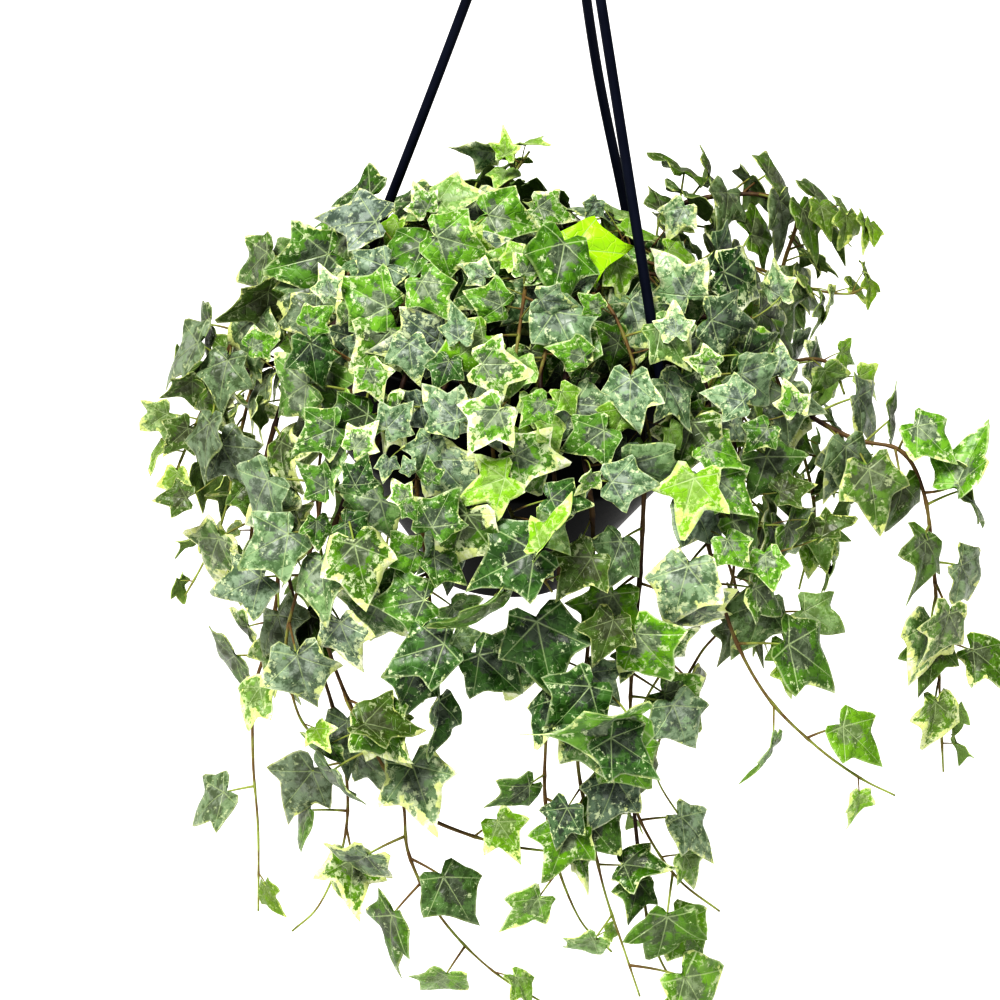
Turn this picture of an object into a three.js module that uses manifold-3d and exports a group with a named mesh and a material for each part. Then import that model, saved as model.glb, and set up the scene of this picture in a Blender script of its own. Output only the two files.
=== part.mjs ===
// A potted trailing ivy: bowl pot, soil, three-armed hanger, and one leafy stem per root hole.
// Millimetres, +Z up. The origin is where the hook bears on what holds it up, and -Y is the window side.
import * as THREE from 'three';
import { mergeVertices } from 'three/addons/utils/BufferGeometryUtils.js';
import Module from 'manifold-3d';

const wasm = await Module();
wasm.setup();

// Pot, with heights measured from its rim plane
const RIM_RADIUS = 85;
const RIM_LIP = 2.5;
const RIM_DEPTH = 5;
const SHOULDER_RADIUS = 80;
const SHOULDER_Z = -47;
const BASE_RADIUS = 30;
const POT_DEPTH = 118;
const WALL = 1.8;
const ROUND_SIDES = 28;
const DRAIN_HOLES = 5;
const DRAIN_RADIUS = 4;
const DRAIN_CIRCLE = 17;

// Soil and the holes that the stems stand in
const SOIL_TOP = -12;
const HOLE_DEPTH = 14;
const HOLE_RADIUS = 2.5;
const FIT_GAP = 0.35;
const STEM_FOOT = [-13, -6, 1, 8];

// Hanger: how far the bearing point is above the rim, the hub, the arms and the lugs that hold them
const HANG_DROP = 318;
const HUB_RADIUS = 11;
const HUB_BOTTOM = 247;
const HUB_TOP = 259;
const HOOK_RADIUS = 11;
const HOOK_WIRE = 2.7;
const ARM_WIDTH = 4.8;
const ARM_THICKNESS = 3.4;
const ARM_TOP = { radius: 4.8, z: 253 };
const ARM_FOOT = { radius: 88.6, z: -1.8 };
const LUG = { width: 12, reach: 10, thickness: 3.6 };
const ARM_BARB = { width: 9, height: 3, z: -8 };
const ARMS = {
  arm_left: { azimuth: 162, bow: [0, -2, -2] },
  arm_front_right: { azimuth: -42, bow: [0, 0, 0] },
  arm_back_right: { azimuth: 44.5, bow: [7, 8.5, 4] },
};

// Stems, leaf stalks and blades
const STEM_RADIUS = 1.3;
const STALK_RADIUS = 0.7;
const STALK_FLARE = 3;
const RING_STEP = 36;
const RING_STEP_AT_RIM = 20;
const RIM_STRETCH = 75;
const UPRIGHT_STRETCH = 15;
const BLADE_THICKNESS = 0.7;
const CLEARANCE = 0.45;
const LEAF_SIZE = 34;
const STEM_TRIALS = 40;
const LEAF_TRIALS = 20;
const STALK_RISE = 0.68;
const TOUCH_VOLUME = 1e-3;
const YOUNG_STRETCH = 70;
const WINDOW_SIDE = new THREE.Vector3(0, -1, 0);
const DOWN = new THREE.Vector3(0, 0, -1);

// How leaves are set: the pulls on a blade's face, stalk and tip, and the shares of chance in them
const LIGHT = { up: 0.25, higher: 0.45, window: 0.75 };
const SIZE = { youngest: 0.42, least: 0.86, spread: 0.28, tighter: 0.03 };
const STALK = { least: 0.42, spread: 0.26, across: 0.75, light: 0.55, ahead: 0.3, chance: 0.2, wider: 0.05 };
const FACE = { across: 0.2, chance: 0.3, lower: 0.42, wider: 0.03 };
const TIP = { down: 0.75, across: 0.45, stalk: 0.4, outward: 0.3, ahead: 0.2, chance: 0.3 };
const FOLD = { least: 0.06, spread: 0.3, youngest: 1.3 };
const DROOP = { tip: 0.22, side: 0.2 };

// Outline of a blade of size 1 from the notch at its stalk: base lobe, side lobe, sinus, and the tip
const BLADE_SIDE = [[-0.17, 0.25], [0.30, 0.52], [0.34, 0.21]];
const BLADE_TIP = [0.80, 0];

// Crown: short stems rooted on a sunflower spiral, every third one short and upright
const CROWN_COUNT = 24;
const CROWN_ROOTS = 47;
const GOLDEN_ANGLE = Math.PI * (3 - Math.sqrt(5));

// Trailing stems: root hole, waypoints in millimetres from the rim's centre, and where leaves grow
const TRAILERS = {
  front_shoot: {
    root: [-2, -64],
    route: [[-3, -76, 12], [-4, -94, 2], [-8, -101, -20], [-4, -106, -37], [4, -112, -53],
      [13, -114, -70], [23, -114, -84]],
    leaves: [50, -84, [104, 38], -122, [140, 42], -154],
  },
  front_left: {
    root: [-19, -62],
    route: [[-22, -74, 14], [-27, -90, 8], [-36, -97, -15], [-40, -100, -41], [-35, -102, -70],
      [-30, -102, -101], [-25, -100, -130], [-24, -98, -150]],
    leaves: [46, -64, 82, -100, 118, -138, 158, -180, 204],
  },
  front_mid: {
    root: [15, -62],
    route: [[13, -75, 13], [11, -91, 4], [18, -96, -24], [23, -98, -56], [26, -98, -88], [26, -96, -123],
      [26, -92, -163], [28, -90, -194], [35, -88, -224], [49, -86, -255], [65, -84, -271]],
    leaves: [50, -70, 90, -110, 132, [170, 42], [-190, 42], -214, -262, 300, -340],
  },
  front_right: {
    root: [30, -56],
    route: [[26, -72, 14], [22, -92, 7], [30, -99, -18], [37, -103, -44], [40, -105, -71],
      [41, -103, -100], [41, -101, -134], [41, -97, -170], [50, -93, -206], [59, -89, -238],
      [71, -87, -269], [80, -86, -292]],
    leaves: [48, -68, 88, -108, 130, -172, 204, -236, 270, [-306, 38], 334, [-362, 40]],
  },
  mid_right: {
    root: [44, -45],
    route: [[50, -60, 15], [52, -82, 6], [59, -89, -23], [61, -93, -55], [62, -93, -88], [62, -91, -122],
      [64, -88, -157], [68, -86, -190], [78, -84, -212], [94, -82, -233], [114, -80, -248]],
    leaves: [50, -70, 92, -114, 138, -164, 190, -220, 252, -284, [316, 38]],
    shoot: [[68, -86, -190], [74, -84, -223], [82, -82, -259], [94, -80, -284], [109, -80, -294]],
    shootLeaves: [34, -66, 100],
  },
  right_front: {
    root: [54, -34],
    route: [[66, -46, 16], [84, -60, 4], [89, -75, -28], [89, -86, -55], [97, -88, -82],
      [108, -88, -110], [126, -85, -138], [150, -80, -161], [172, -78, -176], [190, -75, -185]],
    leaves: [46, -66, 88, [110, 42], -130, 150, -170, [-200, 40], -260, 292],
  },
  right_curtain: {
    root: [61, -20],
    route: [[78, -30, 18], [94, -40, 4], [102, -53, -30], [109, -60, -61], [121, -61, -89],
      [133, -59, -118], [141, -57, -143]],
    leaves: [46, -66, 86, -106, 128, -150, 172, -194, 218],
  },
  right_far: {
    root: [65, -4],
    route: [[84, -2, 18], [104, 0, 8], [129, -10, -17], [158, -20, -30], [181, -25, -33],
      [193, -28, -50], [200, -30, -76], [207, -30, -113], [213, -30, -153], [219, -30, -190]],
    leaves: [46, -68, 92, -172, [-198, 36], -226, -264, -318],
  },
  right_side: {
    root: [64, 13],
    route: [[84, 18, 22], [110, 25, 9], [130, 21, -25], [142, 15, -53], [149, 10, -81], [145, 8, -116]],
    leaves: [46, -66, 88, -110, 132, -154, 178, -200],
    shoot: [[122, 23, -11], [138, 20, -4], [150, 15, -5], [157, 12, -18]],
    shootLeaves: [20, -38],
  },
  back_right_arch: {
    root: [42, 40],
    route: [[48, 50, 20], [60, 58, 50], [83, 70, 63], [105, 78, 64], [124, 82, 48], [133, 84, 20],
      [131, 84, -16], [133, 84, -53], [139, 80, -90]],
    leaves: [56, -78, 96, -112, 128, -144, 162, -180, 200, -224, 250, -276],
    shoot: [[105, 78, 64], [133, 74, 58], [157, 66, 55], [170, 60, 55]],
    shootLeaves: [20, -38, 56],
  },
  back_right_side: {
    root: [56, 28],
    route: [[80, 42, 26], [104, 52, 32], [126, 60, 26], [144, 64, 20], [161, 62, 20], [169, 60, 27]],
    leaves: [48, -72, 96, 118, -142],
  },
  back_right_low: {
    root: [28, 56],
    route: [[48, 74, 20], [78, 86, 22], [108, 97, 5], [116, 98, -26], [117, 96, -68], [119, 92, -118],
      [118, 85, -146], [100, 75, -168], [86, 70, -189], [77, 67, -211], [73, 66, -247], [68, 64, -285]],
    leaves: [50, -76, 104, -144, 190, -238, 284, -330, 380],
  },
  back_right_two: {
    root: [15, 62],
    route: [[40, 88, 16], [69, 102, 8], [87, 111, -16], [97, 112, -64], [109, 108, -116],
      [124, 100, -157], [107, 93, -185], [95, 89, -215], [89, 87, -249], [108, 84, -279]],
    leaves: [50, -78, 110, -150, 196, -244, 290, -340],
  },
  back_tuft: {
    root: [-5, 55],
    route: [[-7, 53, 22], [-12, 51, 44], [-12, 50, 60], [-6, 51, 72], [-1, 53, 80]],
    leaves: [50, -62, 72, -82, 90, -97, 103],
  },
  back_mid_right: {
    root: [1, 65],
    route: [[14, 86, 16], [22, 100, 2], [28, 106, -40], [24, 110, -85], [30, 108, -125]],
    leaves: [46, -70, 94, -120, 148, -176],
  },
  back_mid: {
    root: [-14, 63],
    route: [[-14, 86, 16], [-16, 100, 0], [-10, 108, -42], [-14, 112, -90], [-8, 110, -138]],
    leaves: [46, -70, 94, -120, 148, -178],
  },
  back_mid_left: {
    root: [-29, 58],
    route: [[-40, 80, 16], [-50, 94, 0], [-58, 100, -45], [-54, 104, -95], [-60, 104, -140],
      [-58, 100, -172]],
    leaves: [46, -70, 96, -126, 158, -192, 230],
  },
  back_left: {
    root: [-44, 47],
    route: [[-62, 62, 18], [-78, 76, 2], [-90, 82, -45], [-96, 80, -100], [-92, 76, -150],
      [-96, 72, -200]],
    leaves: [46, -70, 96, -126, 160, -198, 240],
  },
  left_back: {
    root: [-55, 33],
    route: [[-70, 40, 22], [-88, 45, 20], [-107, 50, -1], [-125, 52, -33], [-134, 50, -74],
      [-139, 46, -110], [-148, 44, -136], [-157, 42, -155]],
    leaves: [46, -70, 94, -118, 142, -168, 194, -224],
    shoot: [[-134, 50, -74], [-127, 50, -100], [-126, 48, -128], [-133, 46, -155]],
    shootLeaves: [26, -52],
  },
  left_shoulder: {
    root: [-62, 18],
    route: [[-68, 6, 24], [-78, -6, 32], [-94, -14, 32], [-111, -18, 20], [-129, -20, 0],
      [-139, -22, -24], [-150, -24, -54], [-159, -24, -79]],
    leaves: [46, [-78, 42], 98, -118, 138, -160, 184, -206],
  },
  left_low: {
    root: [-65, 2],
    route: [[-74, -12, 10], [-90, -22, 5], [-106, -27, -10], [-129, -30, -19], [-141, -33, -36],
      [-137, -34, -54], [-122, -36, -72], [-110, -38, -90], [-104, -40, -114], [-107, -38, -145],
      [-113, -36, -172], [-112, -36, -208], [-108, -36, -244], [-106, -36, -287]],
    leaves: [46, -84, 110, -150, 190, -226, 262, 330, -376],
  },
  left_mid: {
    root: [-62, -18],
    route: [[-74, -32, 14], [-88, -44, 8], [-99, -50, -9], [-107, -53, -32], [-111, -54, -62],
      [-100, -53, -100], [-92, -51, -129], [-79, -47, -160], [-69, -43, -196], [-65, -41, -228],
      [-68, -39, -256], [-77, -37, -282], [-89, -35, -297]],
    leaves: [46, -74, 104, -140, 176, -206, 238, -262, [292, 36], 318, -342],
  },
  left_front: {
    root: [-50, -38],
    route: [[-56, -54, 16], [-61, -72, 10], [-73, -83, -12], [-81, -87, -39], [-84, -89, -72],
      [-91, -89, -101], [-95, -87, -131], [-88, -85, -162], [-76, -83, -178]],
    leaves: [46, -70, 92, -114, 136, -158, 180, -204, 230, -256],
  },
  bottom_long: {
    root: [-36, -52],
    route: [[-40, -66, 16], [-46, -83, 10], [-54, -92, -17], [-70, -97, -50], [-78, -98, -80],
      [-78, -95, -114], [-67, -88, -149], [-50, -83, -182], [-38, -79, -204], [-34, -77, -230],
      [-22, -75, -256], [-6, -73, -277], [14, -71, -295], [37, -69, -309]],
    leaves: [48, -72, 96, -122, 150, -184, -240, 268, [-280, 38], 318, -330, [344, 38], 384, -404],
    shoot: [[-38, -79, -204], [-20, -75, -216], [9, -71, -226], [36, -67, -230]],
    shootLeaves: [],
  },
};

const MATERIALS = {
  plastic: new THREE.MeshStandardMaterial({ color: 0x14171f, roughness: 0.42, metalness: 0 }),
  soil: new THREE.MeshStandardMaterial({ color: 0x2b1d14, roughness: 0.95, metalness: 0 }),
  foliage: new THREE.MeshStandardMaterial({ color: 0x5f8a3c, roughness: 0.5, metalness: 0 }),
};

// A closed solid from a three.js geometry: shared vertices merged, collapsed triangles dropped
function solidFrom(geometry) {
  const bare = new THREE.BufferGeometry();
  bare.setAttribute('position', geometry.getAttribute('position'));
  bare.setIndex(geometry.index);
  const merged = mergeVertices(bare, 1e-4);
  const order = merged.index.array;
  const triVerts = [];
  for (let i = 0; i < order.length; i += 3) {
    const [a, b, c] = order.slice(i, i + 3);
    if (a !== b && b !== c && c !== a) triVerts.push(a, b, c);
  }
  return new wasm.Manifold(new wasm.Mesh({
    numProp: 3,
    vertProperties: merged.getAttribute('position').array,
    triVerts: new Uint32Array(triVerts),
  }));
}

function namedMesh(name, solid, material) {
  const { vertProperties, triVerts } = solid.getMesh();
  const geometry = new THREE.BufferGeometry();
  geometry.setAttribute('position', new THREE.BufferAttribute(vertProperties, 3));
  geometry.setIndex(new THREE.BufferAttribute(triVerts, 1));
  const mesh = new THREE.Mesh(geometry, material);
  mesh.name = name;
  return mesh;
}

// A turned solid from a profile of [radius, z] points that starts and ends on the axis
function turned(profile, sides = ROUND_SIDES) {
  const points = profile.map(([radius, z]) => new THREE.Vector2(radius, z));
  return solidFrom(new THREE.LatheGeometry(points, sides).rotateX(Math.PI / 2));
}

// A straight post, upright unless it is turned afterwards
function post(radius, bottom, top, sides) {
  const geometry = new THREE.CylinderGeometry(radius, radius, top - bottom, sides).rotateX(Math.PI / 2);
  return solidFrom(geometry.translate(0, 0, (top + bottom) / 2));
}

// A section of the given half sizes swept along a curve
function swept(curve, halfWidth, halfThickness, sides, steps) {
  const outline = [];
  for (let i = 0; i < sides; i += 1) {
    const turn = (2 * Math.PI * (i + 0.5)) / sides;
    outline.push(new THREE.Vector2(halfWidth * Math.cos(turn), halfThickness * Math.sin(turn)));
  }
  const shape = new THREE.Shape(outline);
  return solidFrom(new THREE.ExtrudeGeometry(shape, { steps, extrudePath: curve, bevelEnabled: false }));
}

function smoothCurve(points) {
  const corners = points.map((point) => new THREE.Vector3(...point));
  return new THREE.CatmullRomCurve3(corners, false, 'catmullrom', 0.5);
}

// Pot: outer profile from the base up to the rim, back down inside at one wall's distance
function potSolid() {
  const outside = [
    [0, -POT_DEPTH],
    [BASE_RADIUS, -POT_DEPTH],
    [SHOULDER_RADIUS - 7, SHOULDER_Z - 15],
    [SHOULDER_RADIUS - 1.5, SHOULDER_Z - 8],
    [SHOULDER_RADIUS, SHOULDER_Z],
    [RIM_RADIUS - RIM_LIP, -RIM_DEPTH - 1],
    [RIM_RADIUS, -RIM_DEPTH],
    [RIM_RADIUS, 0],
  ];
  const pot = turned([...outside, ...potInside(0)]);
  const lugs = Object.values(ARMS).map(({ azimuth }) => lugSolid(azimuth));
  let whole = wasm.Manifold.union([pot, ...lugs]);
  for (const arm of Object.values(ARMS)) {
    whole = whole.subtract(armSweep(arm, FIT_GAP));
  }
  for (let i = 0; i < DRAIN_HOLES; i += 1) {
    const turn = (2 * Math.PI * i) / DRAIN_HOLES;
    const drain = post(DRAIN_RADIUS, -POT_DEPTH - 1, -POT_DEPTH + WALL + 1, 6);
    const centre = [DRAIN_CIRCLE * Math.cos(turn), DRAIN_CIRCLE * Math.sin(turn), 0];
    whole = whole.subtract(drain.translate(centre));
  }
  return whole;
}

// The pot's inner profile, from the rim down to the axis, set in by a gap
function potInside(gap) {
  return [
    [RIM_RADIUS - RIM_LIP - WALL - gap, 0],
    [SHOULDER_RADIUS - WALL - gap, SHOULDER_Z - 2],
    [SHOULDER_RADIUS - 7 - WALL - gap, SHOULDER_Z - 14],
    [BASE_RADIUS - 0.9 - gap, -POT_DEPTH + WALL + gap],
    [0, -POT_DEPTH + WALL + gap],
  ];
}

function lugSolid(azimuth) {
  const length = LUG.reach + RIM_LIP;
  const block = new THREE.BoxGeometry(length, LUG.width, LUG.thickness);
  block.translate(RIM_RADIUS - RIM_LIP + length / 2, 0, -LUG.thickness / 2);
  return solidFrom(block.rotateZ(THREE.MathUtils.degToRad(azimuth)));
}

// One arm's centre line: straight from hub to lug, bowed sideways by a few millimetres
function armCurve({ azimuth, bow }) {
  const turn = THREE.MathUtils.degToRad(azimuth);
  const slope = (ARM_FOOT.radius - ARM_TOP.radius) / (ARM_TOP.z - ARM_FOOT.z);
  const stations = [ARM_TOP.z, ...[0.25, 0.5, 0.75].map((t) => ARM_TOP.z + t * (ARM_FOOT.z - ARM_TOP.z)),
    ARM_FOOT.z, ARM_BARB.z];
  const aside = [0, ...bow, 0, 0];
  return smoothCurve(stations.map((z, i) => {
    const radius = ARM_TOP.radius + slope * (ARM_TOP.z - z);
    return [
      radius * Math.cos(turn) - aside[i] * Math.sin(turn),
      radius * Math.sin(turn) + aside[i] * Math.cos(turn),
      z,
    ];
  }));
}

function armSweep(arm, gap) {
  const half = ARM_WIDTH / 2 + gap * 1.2;
  return swept(armCurve(arm), half, half, 6, 9);
}

// Arm: the swept strip, and the barb that stops it under its lug
function armSolid(arm) {
  const barb = new THREE.BoxGeometry(ARM_THICKNESS, ARM_BARB.width, ARM_BARB.height);
  const radius = ARM_FOOT.radius + 2;
  barb.translate(radius, 0, ARM_BARB.z).rotateZ(THREE.MathUtils.degToRad(arm.azimuth));
  return armSweep(arm, 0).add(solidFrom(barb));
}

// Hub and hook: the hook's arc is centred under the bearing point, and its shank bends back to the axis
function hangerHookSolid() {
  const centre = HANG_DROP + HOOK_WIRE - HOOK_RADIUS;
  const path = [];
  for (let degrees = 205; degrees >= -20; degrees -= 25) {
    const turn = THREE.MathUtils.degToRad(degrees);
    path.push([HOOK_RADIUS * Math.cos(turn), 0, centre + HOOK_RADIUS * Math.sin(turn)]);
  }
  path.push([4, 0, centre - 17], [0, 0, centre - 27], [0, 0, HUB_TOP - 4]);
  const wire = swept(smoothCurve(path), HOOK_WIRE, HOOK_WIRE, 6, 16);
  let hub = turned([
    [0, HUB_BOTTOM],
    [HUB_RADIUS - 1.5, HUB_BOTTOM],
    [HUB_RADIUS, HUB_BOTTOM + 1.5],
    [HUB_RADIUS, HUB_TOP - 4],
    [HUB_RADIUS - 4, HUB_TOP],
    [0, HUB_TOP],
  ], 16);
  for (const arm of Object.values(ARMS)) {
    hub = hub.subtract(armSweep(arm, FIT_GAP));
  }
  return hub.add(wire);
}

// Soil: fills the pot to a gap, with one plain hole for each rooted stem
function soilSolid(roots) {
  const [, ...below] = potInside(FIT_GAP);
  const widening = (RIM_RADIUS - RIM_LIP - SHOULDER_RADIUS) * (1 - SOIL_TOP / SHOULDER_Z);
  const edge = SHOULDER_RADIUS - WALL - FIT_GAP + widening;
  let soil = turned([...below.reverse(), [edge, SOIL_TOP], [0, SOIL_TOP]]);
  for (const [x, y] of roots) {
    const hole = post(HOLE_RADIUS, SOIL_TOP - HOLE_DEPTH, SOIL_TOP + 1, 4);
    soil = soil.subtract(hole.translate([x, y, 0]));
  }
  return soil;
}

// Even random numbers from 0 to 1 that depend only on the whole-number key
function dice(vine, item, trial) {
  let state = (vine * 73856093 ^ item * 19349663 ^ trial * 83492791) >>> 0;
  return () => {
    state = (state + 0x6d2b79f5) >>> 0;
    let mixed = Math.imul(state ^ (state >>> 15), state | 1);
    mixed = (mixed + Math.imul(mixed ^ (mixed >>> 7), mixed | 61)) ^ mixed;
    return ((mixed ^ (mixed >>> 14)) >>> 0) / 4294967296;
  };
}

function scatter(roll) {
  return new THREE.Vector3(roll() * 2 - 1, roll() * 2 - 1, roll() * 2 - 1);
}

// Crown stem: up from its root, over the dome, and down to the pot's side or to the dome's shoulder
function crownVine(i) {
  const turn = i * GOLDEN_ANGLE;
  const start = CROWN_ROOTS * Math.sqrt((i + 0.5) / CROWN_COUNT);
  const short = i % 3 === 0;
  const reach = short ? 62 : 106;
  const peak = short ? 46 : 40;
  const end = short ? 34 : -32 - 14 * Math.sin(i * 2.4);
  const rise = [[0, -4], [0.08, 0.4 * peak], [0.3, 0.95 * peak], [0.62, peak],
    [0.9, 0.5 * (peak + end) + 8], [1, end]];
  const route = rise.map(([part, z], step) => {
    const radius = start + part * (reach - start);
    const bearing = turn + 0.08 * step * Math.sin(i * 1.72);
    return [radius * Math.cos(bearing), radius * Math.sin(bearing), z];
  });
  const root = [start * Math.cos(turn), start * Math.sin(turn)];
  const spots = short ? [36, 54, 72, 90] : [46, 66, 86, 106, 128, 152];
  return { root, route: route.slice(1), leaves: spots.map((spot, k) => (k % 2 ? -spot : spot)) };
}

// The waypoints of a stem, moved aside a little more with each trial
function bentRoute(route, number, trial, fixed) {
  const roll = dice(number, 0, trial);
  return route.map((point, step) => {
    const nudge = scatter(roll).multiplyScalar(step < fixed ? 0 : 0.9 * trial);
    return [point[0] + nudge.x, point[1] + nudge.y, point[2] + nudge.z];
  });
}

// Distances along a stem for its rings: at its end, above its hole, at each leaf, and between them
function ringDistances(length, leafDistances) {
  const stops = [0, UPRIGHT_STRETCH, ...leafDistances, length];
  return stops.flatMap((stop, i) => {
    const gap = (stops[i + 1] ?? stop) - stop;
    const parts = Math.max(1, Math.ceil(gap / (stop < RIM_STRETCH ? RING_STEP_AT_RIM : RING_STEP)));
    return Array.from({ length: parts }, (_, part) => stop + (gap * part) / parts);
  });
}

// Three-sided rings across a stem, turned as little as possible from one to the next
function stemRings(curve, distances, radius) {
  const length = curve.getLength();
  let normal = new THREE.Vector3(1, 0.3, 0.2);
  return distances.map((distance) => {
    const centre = curve.getPointAt(Math.min(1, distance / length));
    const ahead = curve.getTangentAt(Math.min(1, distance / length));
    normal = normal.clone().addScaledVector(ahead, -ahead.dot(normal)).normalize();
    const binormal = new THREE.Vector3().crossVectors(ahead, normal);
    const corners = [0, 1, 2].map((i) => {
      const turn = (2 * Math.PI * i) / 3;
      return centre.clone().addScaledVector(normal, radius * Math.cos(turn))
        .addScaledVector(binormal, radius * Math.sin(turn));
    });
    return { centre, ahead, corners };
  });
}

// Stem: rings joined side by side; a leaf opens one side and runs on from that opening
function stemSolid(curve, distances, radius, leaves = []) {
  const rings = stemRings(curve, distances, radius);
  const corners = rings.flatMap((ring) => ring.corners);
  const order = [0, 2, 1];
  for (let k = 0; k < rings.length - 1; k += 1) {
    const leaf = leaves.find(({ distance }) => Math.abs(distance - distances[k]) < 1e-6);
    const open = leaf ? openSide(rings[k], leaf.stalkWay) : -1;
    for (let side = 0; side < 3; side += 1) {
      const [a, b] = [3 * k + side, 3 * k + ((side + 1) % 3)];
      if (side === open) {
        const flare = corners.length;
        const middle = corners[a].clone().add(corners[b]).multiplyScalar(0.5);
        const above = corners[a + 3].clone().add(corners[b + 3]).multiplyScalar(0.5);
        corners.push(middle.lerp(above, STALK_FLARE / middle.distanceTo(above)));
        order.push(b, b + 3, flare, b + 3, a + 3, flare, a + 3, a, flare);
        growLeaf(leaf, corners, order, [a, b, flare]);
      } else {
        order.push(a, b, b + 3, a, b + 3, a + 3);
      }
    }
  }
  const last = 3 * rings.length - 3;
  order.push(last, last + 1, last + 2);
  return solidOf(corners, order);
}

// The side of a ring that faces the leaf's stalk most
function openSide({ centre, corners }, stalkWay) {
  const facing = [0, 1, 2].map((side) => (
    corners[side].clone().add(corners[(side + 1) % 3]).multiplyScalar(0.5).sub(centre).dot(stalkWay)));
  return facing.indexOf(Math.max(...facing));
}

function solidOf(corners, order) {
  const geometry = new THREE.BufferGeometry();
  const places = corners.flatMap((corner) => corner.toArray());
  geometry.setAttribute('position', new THREE.Float32BufferAttribute(places, 3));
  geometry.setIndex(order);
  return solidFrom(geometry);
}

// Where one leaf sits: its foot on the stem, the stalk's end, and the blade's axes, size and fold.
// The spot is its distance along the stem, below zero on the other side; young leaves near the tip are small
function leafPlace(curve, spot, fullSize, number, item, trial) {
  const length = curve.getLength();
  const distance = Math.abs(spot);
  const roll = dice(number, item, trial);
  const foot = curve.getPointAt(distance / length);
  const ahead = curve.getTangentAt(distance / length);
  const radius = Math.hypot(foot.x, foot.y);
  const outward = new THREE.Vector3(foot.x, foot.y, 0);
  outward.multiplyScalar(Math.min(1, radius / 60) / Math.max(radius, 1));
  const high = THREE.MathUtils.clamp((foot.z + 40) / 100, 0, 1);
  const light = outward.clone().addScaledVector(DOWN, -LIGHT.up - LIGHT.higher * high);
  light.addScaledVector(WINDOW_SIDE, LIGHT.window).normalize();
  const across = new THREE.Vector3().crossVectors(ahead, light).normalize().multiplyScalar(Math.sign(spot));
  const young = THREE.MathUtils.clamp((length - distance) / YOUNG_STRETCH, 0, 1);
  const age = SIZE.youngest + (1 - SIZE.youngest) * young;
  const grown = fullSize ?? LEAF_SIZE * age * (SIZE.least + SIZE.spread * roll());
  const size = grown * (1 - SIZE.tighter * trial);
  const stalk = size * (STALK.least + STALK.spread * roll());
  const stalkWay = across.clone().multiplyScalar(STALK.across).addScaledVector(light, STALK.light);
  stalkWay.addScaledVector(ahead, STALK.ahead);
  stalkWay.addScaledVector(scatter(roll), STALK.chance + STALK.wider * trial).normalize();
  const junction = foot.clone().addScaledVector(stalkWay, stalk);
  const swing = FACE.chance + FACE.lower * (1 - high) + FACE.wider * trial;
  const normal = light.clone().addScaledVector(across, FACE.across);
  normal.addScaledVector(scatter(roll), swing).normalize();
  const along = DOWN.clone().multiplyScalar(TIP.down).addScaledVector(across, TIP.across);
  along.addScaledVector(stalkWay, TIP.stalk).addScaledVector(outward, TIP.outward);
  along.addScaledVector(ahead, TIP.ahead).addScaledVector(scatter(roll), TIP.chance);
  along.addScaledVector(normal, -along.dot(normal)).normalize();
  const fold = FOLD.least + FOLD.spread * roll() * (FOLD.youngest - young);
  const forward = stalkWay.dot(along);
  const fits = forward > 0 && forward + stalkWay.dot(normal) > STALK_RISE;
  return { distance, foot, junction, along, normal, size, fold, stalkWay, fits };
}

// Height of the blade's middle surface: folded up along the midrib, tip and sides drooping
function bladeHeight(x, y, fold) {
  return fold * Math.abs(y) - DROOP.tip * x * x - DROOP.side * y * y;
}

// Blade: fanned alike on both faces from its notch, where its stalk's three-sided mouth is left open
function growBlade({ junction, along, normal, size, fold }, extra, corners, order) {
  const across = new THREE.Vector3().crossVectors(normal, along);
  const half = BLADE_THICKNESS / 2 + extra;
  const wide = STALK_RADIUS + extra;
  const at = (x, y, lift) => junction.clone().addScaledVector(along, x).addScaledVector(across, y)
    .addScaledVector(normal, bladeHeight(x / size, y / size, fold) * size + lift);
  const right = BLADE_SIDE.map(([x, y]) => [x, -y]);
  const rim = [...right, BLADE_TIP, ...[...BLADE_SIDE].reverse()]
    .map(([x, y]) => [x * (size + 2 * extra) - extra * Math.sign(0.1 - x), y * (size + 2 * extra)]);
  const top = corners.length;
  const bottom = top + rim.length;
  const left = bottom + rim.length;
  const [below, other] = [left + 1, left + 2];
  corners.push(...rim.map(([x, y]) => at(x, y, half)), ...rim.map(([x, y]) => at(x, y, -half)));
  corners.push(at(0, wide, half), at(STALK_RADIUS * 1.3, 0, -half), at(0, -wide, half));
  order.push(other, bottom - 1, left, other, below, top, top, below, bottom);
  order.push(bottom - 1, left - 1, left, left, left - 1, below);
  for (let i = 0; i < rim.length - 1; i += 1) {
    order.push(other, top + i, top + i + 1, below, bottom + i + 1, bottom + i);
    order.push(top + i, bottom + i, top + i + 1, top + i + 1, bottom + i, bottom + i + 1);
  }
  return [left, below, other];
}

// Leaf: a blade whose stalk's mouth is joined to a triangular opening, turned to twist the least
function growLeaf(leaf, corners, order, opening, extra = 0) {
  const mouth = growBlade(leaf, extra, corners, order);
  const middle = (ring) => ring.reduce((sum, i) => sum.add(corners[i]), new THREE.Vector3()).divideScalar(3);
  const shift = middle(mouth).sub(middle(opening));
  const [first, second, third] = opening;
  const turns = [[first, third, second], [third, second, first], [second, first, third]];
  const twist = (turn) => turn.reduce((sum, root, i) => (
    sum + corners[root].clone().add(shift).distanceToSquared(corners[mouth[i]])), 0);
  const root = turns.reduce((best, turn) => (twist(turn) < twist(best) ? turn : best));
  for (let i = 0; i < 3; i += 1) {
    const j = (i + 1) % 3;
    order.push(mouth[i], mouth[j], root[j], mouth[i], root[j], root[i]);
  }
}

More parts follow.
